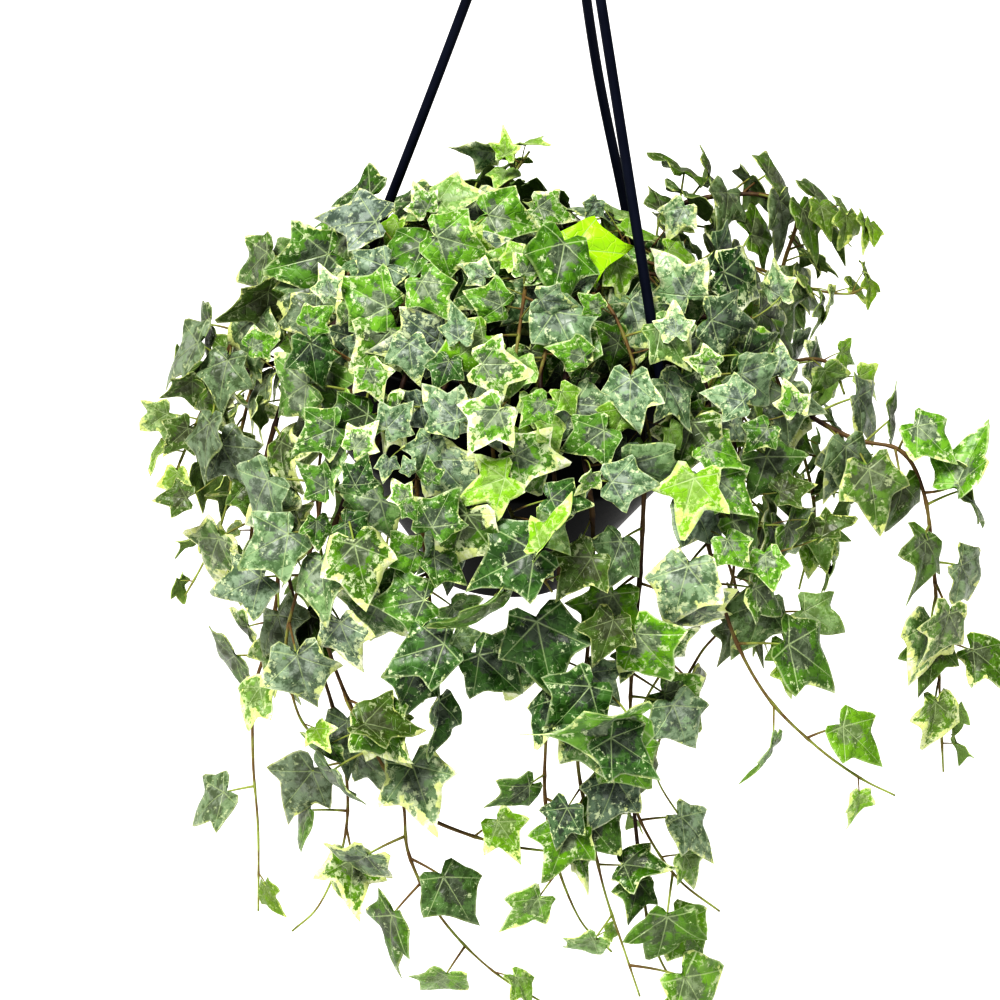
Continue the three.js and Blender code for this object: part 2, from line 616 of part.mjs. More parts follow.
// The three corners at the root of a leaf's stalk
function stalkRoot({ foot, along, stalkWay }, extra) {
  const aside = new THREE.Vector3().crossVectors(stalkWay, along).normalize();
  const under = new THREE.Vector3().crossVectors(stalkWay, aside);
  const reach = STEM_RADIUS + extra;
  return [0, 1, 2].map((i) => {
    const turn = (2 * Math.PI * i) / 3;
    return foot.clone().addScaledVector(aside, reach * Math.cos(turn))
      .addScaledVector(under, reach * Math.sin(turn));
  });
}

// A leaf by itself, made thicker all over by an extra
function leafSolid(leaf, extra = 0) {
  const corners = stalkRoot(leaf, extra);
  const order = [0, 2, 1];
  growLeaf(leaf, corners, order, [0, 1, 2], extra);
  return solidOf(corners, order);
}

// A leaf's blade by itself, made thicker all over by an extra
function bladeSolid(leaf, extra = 0) {
  const corners = [];
  const order = [];
  order.push(...growBlade(leaf, extra, corners, order));
  return solidOf(corners, order);
}

// A leaf's stalk by itself: the six triangles that are grown last, closed at both ends
function stalkSolid(leaf) {
  const corners = stalkRoot(leaf, 0);
  const order = [];
  growLeaf(leaf, corners, order, [0, 1, 2]);
  const end = corners.length;
  return solidOf(corners, [0, 2, 1, ...order.slice(-18), end - 3, end - 1, end - 2]);
}

// What has been placed so far, for keeping new stems and leaves clear of it
const placed = [];

function place(solid, vine, kind) {
  placed.push({ solid, vine, kind, box: solid.boundingBox() });
}

function isClear(solid, spared) {
  const box = solid.boundingBox();
  const apart = (other) => [0, 1, 2].some((axis) => (
    box.min[axis] > other.box.max[axis] || box.max[axis] < other.box.min[axis]));
  return placed.every((other) => apart(other) || spared(other) || solid.intersect(other.solid).isEmpty());
}

function placedStem(route, leaves, number, fixed, key) {
  for (let trial = 0; trial < STEM_TRIALS; trial += 1) {
    const curve = smoothCurve(bentRoute(route, number + key, trial, fixed));
    const length = curve.getLength();
    const spots = leaves.map((spot) => [].concat(spot))
      .filter(([distance]) => Math.abs(distance) < length - 5);
    const distances = ringDistances(length, spots.map(([distance]) => Math.abs(distance)));
    const wide = stemSolid(curve, distances, STEM_RADIUS + 2 * CLEARANCE);
    if (isClear(wide, ({ vine }) => vine === number)) {
      place(stemSolid(curve, distances, STEM_RADIUS), number, 'stem');
      return { curve, distances, spots };
    }
  }
  throw new Error(`stem ${number} finds no clear way`);
}

function placedLeaf(curve, [spot, size], number, item) {
  for (let trial = 0; trial < LEAF_TRIALS; trial += 1) {
    const leaf = leafPlace(curve, spot, size, number, item, trial);
    const ownStem = ({ vine, kind }) => vine === number && kind === 'stem';
    const clear = leaf.fits
      && stalkSolid(leaf).intersect(bladeSolid(leaf)).volume() < TOUCH_VOLUME
      && isClear(bladeSolid(leaf, CLEARANCE), () => false)
      && isClear(leafSolid(leaf, CLEARANCE), ownStem);
    if (clear) {
      place(leafSolid(leaf), number, 'leaf');
      return [leaf];
    }
  }
  return [];
}

// The build: pot and hanger first, then every stem, then the leaves, stem by stem
const pot = potSolid();
const arms = Object.entries(ARMS).map(([name, arm]) => [name, armSolid(arm)]);
const hangerHook = hangerHookSolid();
[pot, hangerHook, ...arms.map(([, solid]) => solid)].forEach((solid) => place(solid, -1, 'holder'));

const vines = Object.entries(TRAILERS).map(([name, vine]) => ({ name: `vine_${name}`, ...vine }));
for (let i = 0; i < CROWN_COUNT; i += 1) {
  vines.push({ name: `vine_crown_${String(i + 1).padStart(2, '0')}`, ...crownVine(i) });
}
vines.forEach((vine, number) => {
  const [x, y] = vine.root;
  const foot = STEM_FOOT.map((height) => [x, y, SOIL_TOP + height]);
  vine.stems = [placedStem([...foot, ...vine.route], vine.leaves, number, STEM_FOOT.length, 0)];
  if (vine.shoot) {
    vine.stems.push(placedStem(vine.shoot, vine.shootLeaves, number, 1, 500));
  }
});
vines.forEach((vine, number) => {
  vine.solids = vine.stems.map(({ curve, distances, spots }, branch) => {
    const leaves = spots.flatMap((spot, i) => placedLeaf(curve, spot, number, 1 + i + 100 * branch));
    return stemSolid(curve, distances, STEM_RADIUS, leaves);
  });
});

const plant = new THREE.Group();
plant.position.z = -HANG_DROP;
plant.add(namedMesh('pot', pot, MATERIALS.plastic));
plant.add(namedMesh('soil', soilSolid(vines.map(({ root }) => root)), MATERIALS.soil));
plant.add(namedMesh('hanger_hook', hangerHook, MATERIALS.plastic));
arms.forEach(([name, solid]) => plant.add(namedMesh(name, solid, MATERIALS.plastic)));
vines.forEach(({ name, solids }) => {
  plant.add(namedMesh(name, wasm.Manifold.union(solids), MATERIALS.foliage));
});

export default plant;
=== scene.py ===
"""Looks of the potted trailing ivy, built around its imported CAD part.

Lengths are metres in the hook's frame. The vines repeat the CAD source's growing rule, which is in
millimetres from the middle of the pot's rim, and are brought into the hook's frame at the end."""
import math

import bpy
import mathutils
import numpy as np
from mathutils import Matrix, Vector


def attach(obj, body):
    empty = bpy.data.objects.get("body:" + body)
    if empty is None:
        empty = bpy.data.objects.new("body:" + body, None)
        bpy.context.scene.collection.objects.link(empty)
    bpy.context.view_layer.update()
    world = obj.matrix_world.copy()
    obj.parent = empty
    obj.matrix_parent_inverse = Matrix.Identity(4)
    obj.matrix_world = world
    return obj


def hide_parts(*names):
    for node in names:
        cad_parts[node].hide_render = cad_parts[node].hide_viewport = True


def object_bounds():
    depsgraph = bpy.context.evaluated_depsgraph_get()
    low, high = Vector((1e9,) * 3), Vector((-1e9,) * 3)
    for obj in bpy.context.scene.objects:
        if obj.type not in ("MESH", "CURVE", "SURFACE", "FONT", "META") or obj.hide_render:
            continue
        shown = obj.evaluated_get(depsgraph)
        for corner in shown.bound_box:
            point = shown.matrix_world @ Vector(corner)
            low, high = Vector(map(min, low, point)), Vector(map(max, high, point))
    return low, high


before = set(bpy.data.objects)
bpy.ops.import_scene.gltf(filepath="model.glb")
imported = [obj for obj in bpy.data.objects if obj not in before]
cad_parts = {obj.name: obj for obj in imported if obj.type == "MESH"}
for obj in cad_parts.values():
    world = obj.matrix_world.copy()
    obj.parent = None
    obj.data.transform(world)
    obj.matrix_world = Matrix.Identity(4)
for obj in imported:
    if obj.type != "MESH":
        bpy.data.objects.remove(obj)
CAD_BOX = [list(corner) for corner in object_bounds()]

MM = 0.001
SEED = 7

# Sizes of the made things, in millimetres, as in the CAD source
RIM_RADIUS = 85.0
RIM_LIP = 2.5
RIM_DEPTH = 5.0
SHOULDER_RADIUS = 80.0
SHOULDER_Z = -47.0
BASE_RADIUS = 30.0
POT_DEPTH = 118.0
WALL = 1.8
DRAIN_HOLES = 5
DRAIN_RADIUS = 4.0
DRAIN_CIRCLE = 17.0
SOIL_TOP = -12.0
SOIL_GAP = 0.35
SOIL_LUMPS = 60
STEM_FOOT = [-13, -6, 1, 8]
HANG_DROP = 318.0
HUB_RADIUS = 11.0
HUB_BOTTOM = 247.0
HUB_TOP = 259.0
HOOK_RADIUS = 11.0
HOOK_WIRE = 2.7
ARM_WIDTH = 4.8
ARM_TOP = (4.8, 253.0)
ARM_FOOT = (88.6, -1.8)
ARM_BARB = (9.0, 3.0, -8.0)
LUG = (12.0, 10.0, 3.6)
ARMS = {
    "arm_left": (162, [0, -2, -2]),
    "arm_front_right": (-42, [0, 0, 0]),
    "arm_back_right": (44.5, [7, 8.5, 4]),
}

# How leaves are set: the pulls on a blade's face, stalk and tip, and the shares of chance in them
STEM_RADIUS = 1.3
BLADE_HALF = 0.35
LEAF_SIZE = 34.0
STEM_TRIALS = 40
LEAF_TRIALS = 20
YOUNG_STRETCH = 70.0
WINDOW_SIDE = np.array([0.0, -1.0, 0.0])
UP = np.array([0.0, 0.0, 1.0])
LIGHT_UP, LIGHT_HIGHER, LIGHT_WINDOW = 0.25, 0.45, 0.75
SIZE_YOUNGEST, SIZE_LEAST, SIZE_SPREAD, SIZE_TIGHTER = 0.42, 0.86, 0.28, 0.03
STALK_LEAST, STALK_SPREAD = 0.42, 0.26
STALK_ACROSS, STALK_LIGHT, STALK_AHEAD, STALK_CHANCE, STALK_WIDER = 0.75, 0.55, 0.3, 0.2, 0.05
FACE_ACROSS, FACE_CHANCE, FACE_LOWER, FACE_WIDER = 0.2, 0.3, 0.42, 0.03
TIP_DOWN, TIP_ACROSS, TIP_STALK, TIP_OUTWARD, TIP_AHEAD, TIP_CHANCE = 0.75, 0.45, 0.4, 0.3, 0.2, 0.3
FOLD_LEAST, FOLD_SPREAD, FOLD_YOUNGEST = 0.06, 0.3, 1.3
DROOP_TIP, DROOP_SIDE = 0.22, 0.2
BLADE_TIP = 0.80

# Crown: short stems rooted on a sunflower spiral, every third one short and upright
CROWN_COUNT = 24
CROWN_ROOTS = 47.0
GOLDEN_ANGLE = math.pi * (3 - math.sqrt(5))

# Trailing stems: root hole, waypoints in millimetres from the rim's centre, where leaves grow, and how
# olive their leaves are toward the wall side, partly their own colour and partly painted shade and backlight
TRAILERS = {
    "front_shoot": {
        "root": [-2, -64], "olive": 0.25,
        "route": [[-3, -76, 12], [-4, -94, 2], [-8, -101, -20], [-4, -106, -37], [4, -112, -53],
              [13, -114, -70], [23, -114, -84]],
        "leaves": [50, -84, [104, 38], -122, [140, 42], -154],
    },
    "front_left": {
        "root": [-19, -62], "olive": 0.0,
        "route": [[-22, -74, 14], [-27, -90, 8], [-36, -97, -15], [-40, -100, -41], [-35, -102, -70],
              [-30, -102, -101], [-25, -100, -130], [-24, -98, -150]],
        "leaves": [46, -64, 82, -100, 118, -138, 158, -180, 204],
    },
    "front_mid": {
        "root": [15, -62], "olive": 0.15,
        "route": [[13, -75, 13], [11, -91, 4], [18, -96, -24], [23, -98, -56], [26, -98, -88],
              [26, -96, -123], [26, -92, -163], [28, -90, -194], [35, -88, -224], [49, -86, -255],
              [65, -84, -271]],
        "leaves": [50, -70, 90, -110, 132, [170, 42], [-190, 42], -214, -262, 300, -340],
    },
    "front_right": {
        "root": [30, -56], "olive": 0.15,
        "route": [[26, -72, 14], [22, -92, 7], [30, -99, -18], [37, -103, -44], [40, -105, -71],
              [41, -103, -100], [41, -101, -134], [41, -97, -170], [50, -93, -206], [59, -89, -238],
              [71, -87, -269], [80, -86, -292]],
        "leaves": [48, -68, 88, -108, 130, -172, 204, -236, 270, [-306, 38], 334, [-362, 40]],
    },
    "mid_right": {
        "root": [44, -45], "olive": 0.25,
        "route": [[50, -60, 15], [52, -82, 6], [59, -89, -23], [61, -93, -55], [62, -93, -88],
              [62, -91, -122], [64, -88, -157], [68, -86, -190], [78, -84, -212], [94, -82, -233],
              [114, -80, -248]],
        "leaves": [50, -70, 92, -114, 138, -164, 190, -220, 252, -284, [316, 38]],
        "shoot": [[68, -86, -190], [74, -84, -223], [82, -82, -259], [94, -80, -284], [109, -80, -294]],
        "shoot_leaves": [34, -66, 100],
    },
    "right_front": {
        "root": [54, -34], "olive": 0.2,
        "route": [[66, -46, 16], [84, -60, 4], [89, -75, -28], [89, -86, -55], [97, -88, -82],
              [108, -88, -110], [126, -85, -138], [150, -80, -161], [172, -78, -176], [190, -75, -185]],
        "leaves": [46, -66, 88, [110, 42], -130, 150, -170, [-200, 40], -260, 292],
    },
    "right_curtain": {
        "root": [61, -20], "olive": 0.35,
        "route": [[78, -30, 18], [94, -40, 4], [102, -53, -30], [109, -60, -61], [121, -61, -89],
              [133, -59, -118], [141, -57, -143]],
        "leaves": [46, -66, 86, -106, 128, -150, 172, -194, 218],
    },
    "right_far": {
        "root": [65, -4], "olive": 0.55,
        "route": [[84, -2, 18], [104, 0, 8], [129, -10, -17], [158, -20, -30], [181, -25, -33],
              [193, -28, -50], [200, -30, -76], [207, -30, -113], [213, -30, -153], [219, -30, -190]],
        "leaves": [46, -68, 92, -172, [-198, 36], -226, -264, -318],
    },
    "right_side": {
        "root": [64, 13], "olive": 0.4,
        "route": [[84, 18, 22], [110, 25, 9], [130, 21, -25], [142, 15, -53], [149, 10, -81],
              [145, 8, -116]],
        "leaves": [46, -66, 88, -110, 132, -154, 178, -200],
        "shoot": [[122, 23, -11], [138, 20, -4], [150, 15, -5], [157, 12, -18]],
        "shoot_leaves": [20, -38],
    },
    "back_right_arch": {
        "root": [42, 40], "olive": 0.75,
        "route": [[48, 50, 20], [60, 58, 50], [83, 70, 63], [105, 78, 64], [124, 82, 48], [133, 84, 20],
              [131, 84, -16], [133, 84, -53], [139, 80, -90]],
        "leaves": [56, -78, 96, -112, 128, -144, 162, -180, 200, -224, 250, -276],
        "shoot": [[105, 78, 64], [133, 74, 58], [157, 66, 55], [170, 60, 55]],
        "shoot_leaves": [20, -38, 56],
    },
    "back_right_side": {
        "root": [56, 28], "olive": 0.8,
        "route": [[80, 42, 26], [104, 52, 32], [126, 60, 26], [144, 64, 20], [161, 62, 20],
              [169, 60, 27]],
        "leaves": [48, -72, 96, 118, -142],
    },
    "back_right_low": {
        "root": [28, 56], "olive": 0.9,
        "route": [[48, 74, 20], [78, 86, 22], [108, 97, 5], [116, 98, -26], [117, 96, -68],
              [119, 92, -118], [118, 85, -146], [100, 75, -168], [86, 70, -189], [77, 67, -211],
              [73, 66, -247], [68, 64, -285]],
        "leaves": [50, -76, 104, -144, 190, -238, 284, -330, 380],
    },
    "back_right_two": {
        "root": [15, 62], "olive": 0.95,
        "route": [[40, 88, 16], [69, 102, 8], [87, 111, -16], [97, 112, -64], [109, 108, -116],
              [124, 100, -157], [107, 93, -185], [95, 89, -215], [89, 87, -249], [108, 84, -279]],
        "leaves": [50, -78, 110, -150, 196, -244, 290, -340],
    },
    "back_tuft": {
        "root": [-5, 55], "olive": 0.1,
        "route": [[-7, 53, 22], [-12, 51, 44], [-12, 50, 60], [-6, 51, 72], [-1, 53, 80]],
        "leaves": [50, -62, 72, -82, 90, -97, 103],
    },
    "back_mid_right": {
        "root": [1, 65], "olive": 0.9,
        "route": [[14, 86, 16], [22, 100, 2], [28, 106, -40], [24, 110, -85], [30, 108, -125]],
        "leaves": [46, -70, 94, -120, 148, -176],
    },
    "back_mid": {
        "root": [-14, 63], "olive": 0.9,
        "route": [[-14, 86, 16], [-16, 100, 0], [-10, 108, -42], [-14, 112, -90], [-8, 110, -138]],
        "leaves": [46, -70, 94, -120, 148, -178],
    },
    "back_mid_left": {
        "root": [-29, 58], "olive": 0.9,
        "route": [[-40, 80, 16], [-50, 94, 0], [-58, 100, -45], [-54, 104, -95], [-60, 104, -140],
              [-58, 100, -172]],
        "leaves": [46, -70, 96, -126, 158, -192, 230],
    },
    "back_left": {
        "root": [-44, 47], "olive": 0.9,
        "route": [[-62, 62, 18], [-78, 76, 2], [-90, 82, -45], [-96, 80, -100], [-92, 76, -150],
              [-96, 72, -200]],
        "leaves": [46, -70, 96, -126, 160, -198, 240],
    },
    "left_back": {
        "root": [-55, 33], "olive": 0.85,
        "route": [[-70, 40, 22], [-88, 45, 20], [-107, 50, -1], [-125, 52, -33], [-134, 50, -74],
              [-139, 46, -110], [-148, 44, -136], [-157, 42, -155]],
        "leaves": [46, -70, 94, -118, 142, -168, 194, -224],
        "shoot": [[-134, 50, -74], [-127, 50, -100], [-126, 48, -128], [-133, 46, -155]],
        "shoot_leaves": [26, -52],
    },
    "left_shoulder": {
        "root": [-62, 18], "olive": 0.55,
        "route": [[-68, 6, 24], [-78, -6, 32], [-94, -14, 32], [-111, -18, 20], [-129, -20, 0],
              [-139, -22, -24], [-150, -24, -54], [-159, -24, -79]],
        "leaves": [46, [-78, 42], 98, -118, 138, -160, 184, -206],
    },
    "left_low": {
        "root": [-65, 2], "olive": 0.7,
        "route": [[-74, -12, 10], [-90, -22, 5], [-106, -27, -10], [-129, -30, -19], [-141, -33, -36],
              [-137, -34, -54], [-122, -36, -72], [-110, -38, -90], [-104, -40, -114], [-107, -38, -145],
              [-113, -36, -172], [-112, -36, -208], [-108, -36, -244], [-106, -36, -287]],
        "leaves": [46, -84, 110, -150, 190, -226, 262, 330, -376],
    },
    "left_mid": {
        "root": [-62, -18], "olive": 0.55,
        "route": [[-74, -32, 14], [-88, -44, 8], [-99, -50, -9], [-107, -53, -32], [-111, -54, -62],
              [-100, -53, -100], [-92, -51, -129], [-79, -47, -160], [-69, -43, -196], [-65, -41, -228],
              [-68, -39, -256], [-77, -37, -282], [-89, -35, -297]],
        "leaves": [46, -74, 104, -140, 176, -206, 238, -262, [292, 36], 318, -342],
    },
    "left_front": {
        "root": [-50, -38], "olive": 0.2,
        "route": [[-56, -54, 16], [-61, -72, 10], [-73, -83, -12], [-81, -87, -39], [-84, -89, -72],
              [-91, -89, -101], [-95, -87, -131], [-88, -85, -162], [-76, -83, -178]],
        "leaves": [46, -70, 92, -114, 136, -158, 180, -204, 230, -256],
    },
    "bottom_long": {
        "root": [-36, -52], "olive": 0.3,
        "route": [[-40, -66, 16], [-46, -83, 10], [-54, -92, -17], [-70, -97, -50], [-78, -98, -80],
              [-78, -95, -114], [-67, -88, -149], [-50, -83, -182], [-38, -79, -204], [-34, -77, -230],
              [-22, -75, -256], [-6, -73, -277], [14, -71, -295], [37, -69, -309]],
        "leaves": [48, -72, 96, -122, 150, -184, -240, 268, [-280, 38], 318, -330, [344, 38], 384, -404],
        "shoot": [[-38, -79, -204], [-20, -75, -216], [9, -71, -226], [36, -67, -230]],
        "shoot_leaves": [],
    },
}


def dice(vine, item, trial):
    """Even random numbers from 0 to 1 that depend only on the whole-number key, as in the CAD source."""
    mask = 0xFFFFFFFF
    state = (vine * 73856093 ^ item * 19349663 ^ trial * 83492791) & mask

    def roll():
        nonlocal state
        state = (state + 0x6D2B79F5) & mask
        mixed = ((state ^ (state >> 15)) * (state | 1)) & mask
        mixed = ((mixed + ((mixed ^ (mixed >> 7)) * (mixed | 61))) ^ mixed) & mask
        return (mixed ^ (mixed >> 14)) / 4294967296

    return roll


def scatter(roll):
    """A chance vector whose parts lie between -1 and 1."""
    return np.array([roll() * 2 - 1, roll() * 2 - 1, roll() * 2 - 1])


def unit(vector):
    return vector / np.linalg.norm(vector)


class Curve:
    """A stem's middle line: a uniform Catmull-Rom spline through its waypoints, run on straight at both
    ends, and read by distance through a table of 200 chords."""

    def __init__(self, points):
        points = np.array(points, float)
        first, last = 2 * points[0] - points[1], 2 * points[-1] - points[-2]
        self.corners = np.vstack([first, points, last])
        self.parts = len(points) - 1
        self.shares = np.linspace(0, 1, 201)
        steps = np.diff(self.point(self.shares), axis=0)
        self.lengths = np.concatenate([[0], np.cumsum(np.linalg.norm(steps, axis=1))])
        self.length = self.lengths[-1]

    def point(self, share):
        """p(w) = b + sw + (3(c-b) - 2s - e)w^2 + (2(b-c) + s + e)w^3, with half-chord slopes s and e."""
        place = np.clip(np.asarray(share, float), 0, 1) * self.parts
        i = np.minimum(place.astype(int), self.parts - 1)
        w = (place - i)[..., None]
        a, b, c, d = (self.corners[i + k] for k in range(4))
        s, e = 0.5 * (c - a), 0.5 * (d - b)
        return b + s * w + (3 * (c - b) - 2 * s - e) * w**2 + (2 * (b - c) + s + e) * w**3

    def at(self, distance):
        return self.point(np.interp(distance, self.lengths, self.shares))

    def ahead(self, distance):
        share = np.interp(distance, self.lengths, self.shares)
        step = self.point(share + 1e-4) - self.point(share - 1e-4)
        return step / np.linalg.norm(step, axis=-1, keepdims=True)


def crown_vine(i):
    """Crown stem: up from its root, over the dome, and down to the pot's side or the dome's shoulder."""
    turn = i * GOLDEN_ANGLE
    start = CROWN_ROOTS * math.sqrt((i + 0.5) / CROWN_COUNT)
    short = i % 3 == 0
    reach, peak = (62, 46) if short else (106, 40)
    end = 34 if short else -32 - 14 * math.sin(i * 2.4)
    rise = [[0.08, 0.4 * peak], [0.3, 0.95 * peak], [0.62, peak], [0.9, 0.5 * (peak + end) + 8], [1, end]]
    route = []
    for step, (part, z) in enumerate(rise):
        radius = start + part * (reach - start)
        bearing = turn + 0.08 * (step + 1) * math.sin(i * 1.72)
        route.append([radius * math.cos(bearing), radius * math.sin(bearing), z])
    root = [start * math.cos(turn), start * math.sin(turn)]
    spots = [36, 54, 72, 90] if short else [46, 66, 86, 106, 128, 152]
    leaves = [-spot if k % 2 else spot for k, spot in enumerate(spots)]
    # Crown leaves grow more olive toward the back: partly their own colour, partly painted shade and
    # backlight
    return {"root": root, "route": route, "leaves": leaves, "olive": 0.35 * max(0.0, math.sin(turn))}


def bent_route(route, number, trial, fixed):
    """The waypoints of a stem, moved aside a little more with each trial."""
    roll = dice(number, 0, trial)
    nudges = [scatter(roll) * (0 if step < fixed else 0.9 * trial) for step in range(len(route))]
    return np.array(route, float) + nudges


def leaf_place(curve, spot, full_size, number, item, trial):
    """Where one leaf sits: its foot, its stalk's end, and its blade's axes, size and fold."""
    length, distance = curve.length, abs(spot)
    roll = dice(number, item, trial)
    foot, ahead = curve.at(distance), curve.ahead(distance)
    radius = math.hypot(foot[0], foot[1])
    outward = np.array([foot[0], foot[1], 0]) * min(1, radius / 60) / max(radius, 1)
    high = min(max((foot[2] + 40) / 100, 0), 1)
    light = unit(outward + UP * (LIGHT_UP + LIGHT_HIGHER * high) + WINDOW_SIDE * LIGHT_WINDOW)
    across = unit(np.cross(ahead, light)) * math.copysign(1, spot)
    young = min(max((length - distance) / YOUNG_STRETCH, 0), 1)
    age = SIZE_YOUNGEST + (1 - SIZE_YOUNGEST) * young
    grown = full_size if full_size else LEAF_SIZE * age * (SIZE_LEAST + SIZE_SPREAD * roll())
    size = grown * (1 - SIZE_TIGHTER * trial)
    stalk = size * (STALK_LEAST + STALK_SPREAD * roll())
    stalk_way = across * STALK_ACROSS + light * STALK_LIGHT + ahead * STALK_AHEAD
    stalk_way = unit(stalk_way + scatter(roll) * (STALK_CHANCE + STALK_WIDER * trial))
    junction = foot + stalk_way * stalk
    swing = FACE_CHANCE + FACE_LOWER * (1 - high) + FACE_WIDER * trial
    normal = unit(light + across * FACE_ACROSS + scatter(roll) * swing)
    along = -UP * TIP_DOWN + across * TIP_ACROSS + stalk_way * TIP_STALK + outward * TIP_OUTWARD
    along = along + ahead * TIP_AHEAD + scatter(roll) * TIP_CHANCE
    along = unit(along - normal * along.dot(normal))
    fold = FOLD_LEAST + FOLD_SPREAD * roll() * (FOLD_YOUNGEST - young)
    return {
        "foot": foot, "junction": junction, "along": along, "normal": normal, "size": size,
        "fold": fold, "stalk_way": stalk_way, "young": 1 - young, "distance": distance, "ahead": ahead,
    }


def cad_points(name):
    """A CAD node's corners, in millimetres from the rim's centre."""
    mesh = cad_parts[name].data
    corners = np.empty(len(mesh.vertices) * 3)
    mesh.vertices.foreach_get("co", corners)
    return np.unique(corners.reshape(-1, 3).round(7), axis=0) / MM + UP * HANG_DROP


def nearest(points, place):
    """Distances of points from a place."""
    return np.linalg.norm(points - place, axis=1)


def built_stem(route, number, fixed, key, corners):
    """The stem as the CAD part has it: the first trial whose end ring is among the node's corners."""
    for trial in range(STEM_TRIALS):
        curve = Curve(bent_route(route, number + key, trial, fixed))
        off = nearest(corners, curve.at(curve.length))
        if (np.abs(off - STEM_RADIUS) < 0.03).sum() >= 3:
            return curve
    raise RuntimeError(f"stem {number} isn't in the CAD part")


def built_leaf(curve, spot, size, number, item, corners):
    """The leaf as the CAD part has it: the first trial whose tip is among the node's corners, if any."""
    for trial in range(LEAF_TRIALS):
        leaf = leaf_place(curve, spot, size, number, item, trial)
        reach, droop = BLADE_TIP * leaf["size"], DROOP_TIP * BLADE_TIP**2 * leaf["size"]
        tip = leaf["junction"] + leaf["along"] * reach + leaf["normal"] * (BLADE_HALF - droop)
        if nearest(corners, tip).min() < 0.03:
            return [leaf]
    return []


def read_vines():
    """Every vine as the CAD part has it, with its stems' curves and its leaves."""
    vines = [{"name": name, **vine} for name, vine in TRAILERS.items()]
    vines += [{"name": f"crown_{i + 1:02d}", **crown_vine(i)} for i in range(CROWN_COUNT)]
    for number, vine in enumerate(vines):
        corners = cad_points("vine_" + vine["name"])
        foot = [[*vine["root"], SOIL_TOP + height] for height in STEM_FOOT]
        plans = [(foot + vine["route"], vine["leaves"], len(STEM_FOOT), 0)]
        if "shoot" in vine:
            plans.append((vine["shoot"], vine["shoot_leaves"], 1, 500))
        vine["number"] = number
        vine["stems"] = []
        vine["grown"] = []
        for branch, (route, spots, fixed, key) in enumerate(plans):
            curve = built_stem(route, number, fixed, key, corners)
            spots = [spot if isinstance(spot, list) else [spot, None] for spot in spots]
            spots = [spot for spot in spots if abs(spot[0]) < curve.length - 5]
            found = []
            for i, (spot, size) in enumerate(spots):
                found += built_leaf(curve, spot, size, number, 1 + i + 100 * branch, corners)
            vine["stems"].append({"curve": curve, "taken": [leaf["distance"] for leaf in found]})
            vine["grown"] += found
    return vines


# Fine blade: half outline as angle in degrees about a point a little ahead of the stalk's end, the reach of
# a deeply lobed leaf there, and the reach of a shallow one, for a leaf of size 1
BLADE_MIDDLE = 0.10
BLADE_OUTLINE = np.array([
    [0, 0.740, 0.690], [5, 0.628, 0.622], [12, 0.512, 0.552], [21, 0.408, 0.490], [31, 0.332, 0.445],
    [41, 0.292, 0.420], [50, 0.330, 0.424], [60, 0.450, 0.458], [68, 0.580, 0.510], [76, 0.500, 0.468],
    [87, 0.378, 0.410], [101, 0.306, 0.360], [118, 0.330, 0.352], [136, 0.392, 0.366], [151, 0.345, 0.325],
    [166, 0.208, 0.215], [180, 0.095, 0.100],
])
BLADE_RINGS = np.array([0.34, 0.62, 0.84, 1.0])
LEAF_VALUES = ("seed", "pale", "olive", "young", "plain", "bright", "grey")
# Half the thickness of a fine blade, how much wider it is than the plain one, and what its UV map spans
FINE_HALF = 0.24
FULLER = 1.07
UV_SPAN = 1.6


def mesh_object(name, corners, faces, smooth=True):
    """A mesh from whole arrays: corners (n, 3) in metres, and an array of faces for each number of sides."""
    mesh = bpy.data.meshes.new(name)
    corners = np.clip(corners, np.array(CAD_BOX[0]) + 1e-5, np.array(CAD_BOX[1]) - 1e-5)
    mesh.vertices.add(len(corners))
    mesh.vertices.foreach_set("co", corners.astype(np.float32).ravel())
    loops = np.concatenate([face.ravel() for face in faces])
    sides = np.concatenate([np.full(len(face), face.shape[1]) for face in faces])
    mesh.loops.add(len(loops))
    mesh.loops.foreach_set("vertex_index", loops.astype(np.int32))
    mesh.polygons.add(len(sides))
    mesh.polygons.foreach_set("loop_start", np.concatenate([[0], np.cumsum(sides)[:-1]]).astype(np.int32))
    mesh.update(calc_edges=True)
    mesh.validate()
    mesh.polygons.foreach_set("use_smooth", np.full(len(sides), smooth))
    piece = bpy.data.objects.new(name, mesh)
    bpy.context.scene.collection.objects.link(piece)
    return piece


def set_values(piece, values):
    """One number for each corner, kept on the mesh under the name that the materials read."""
    for name, numbers in values.items():
        layer = piece.data.attributes.new(name, "FLOAT", "POINT")
        layer.data.foreach_set("value", np.asarray(numbers, np.float32).ravel())


def set_uv(piece, name, places):
    """A UV map from one place for each corner."""
    layer = piece.data.uv_layers.new(name=name)
    loops = np.empty(len(piece.data.loops), np.int32)
    piece.data.loops.foreach_get("vertex_index", loops)
    layer.data.foreach_set("uv", places[loops].astype(np.float32).ravel())


def finish_piece(piece, material, slot, *nodes):
    """Gives a piece its material, its body and the nodes that it replaces; the slot is not used."""
    piece.data.materials.append(material)
    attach(piece, "root")
    if nodes:
        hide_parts(*nodes)
    return piece


def grid_faces(rows, columns, closed=True):
    """Quads between neighbouring rows of a grid whose rows close on themselves."""
    i, j = np.meshgrid(np.arange(rows - 1), np.arange(columns if closed else columns - 1), indexing="ij")
    k = (j + 1) % columns
    return np.stack([i * columns + j, i * columns + k, (i + 1) * columns + k, (i + 1) * columns + j],
                    axis=-1).reshape(-1, 4)


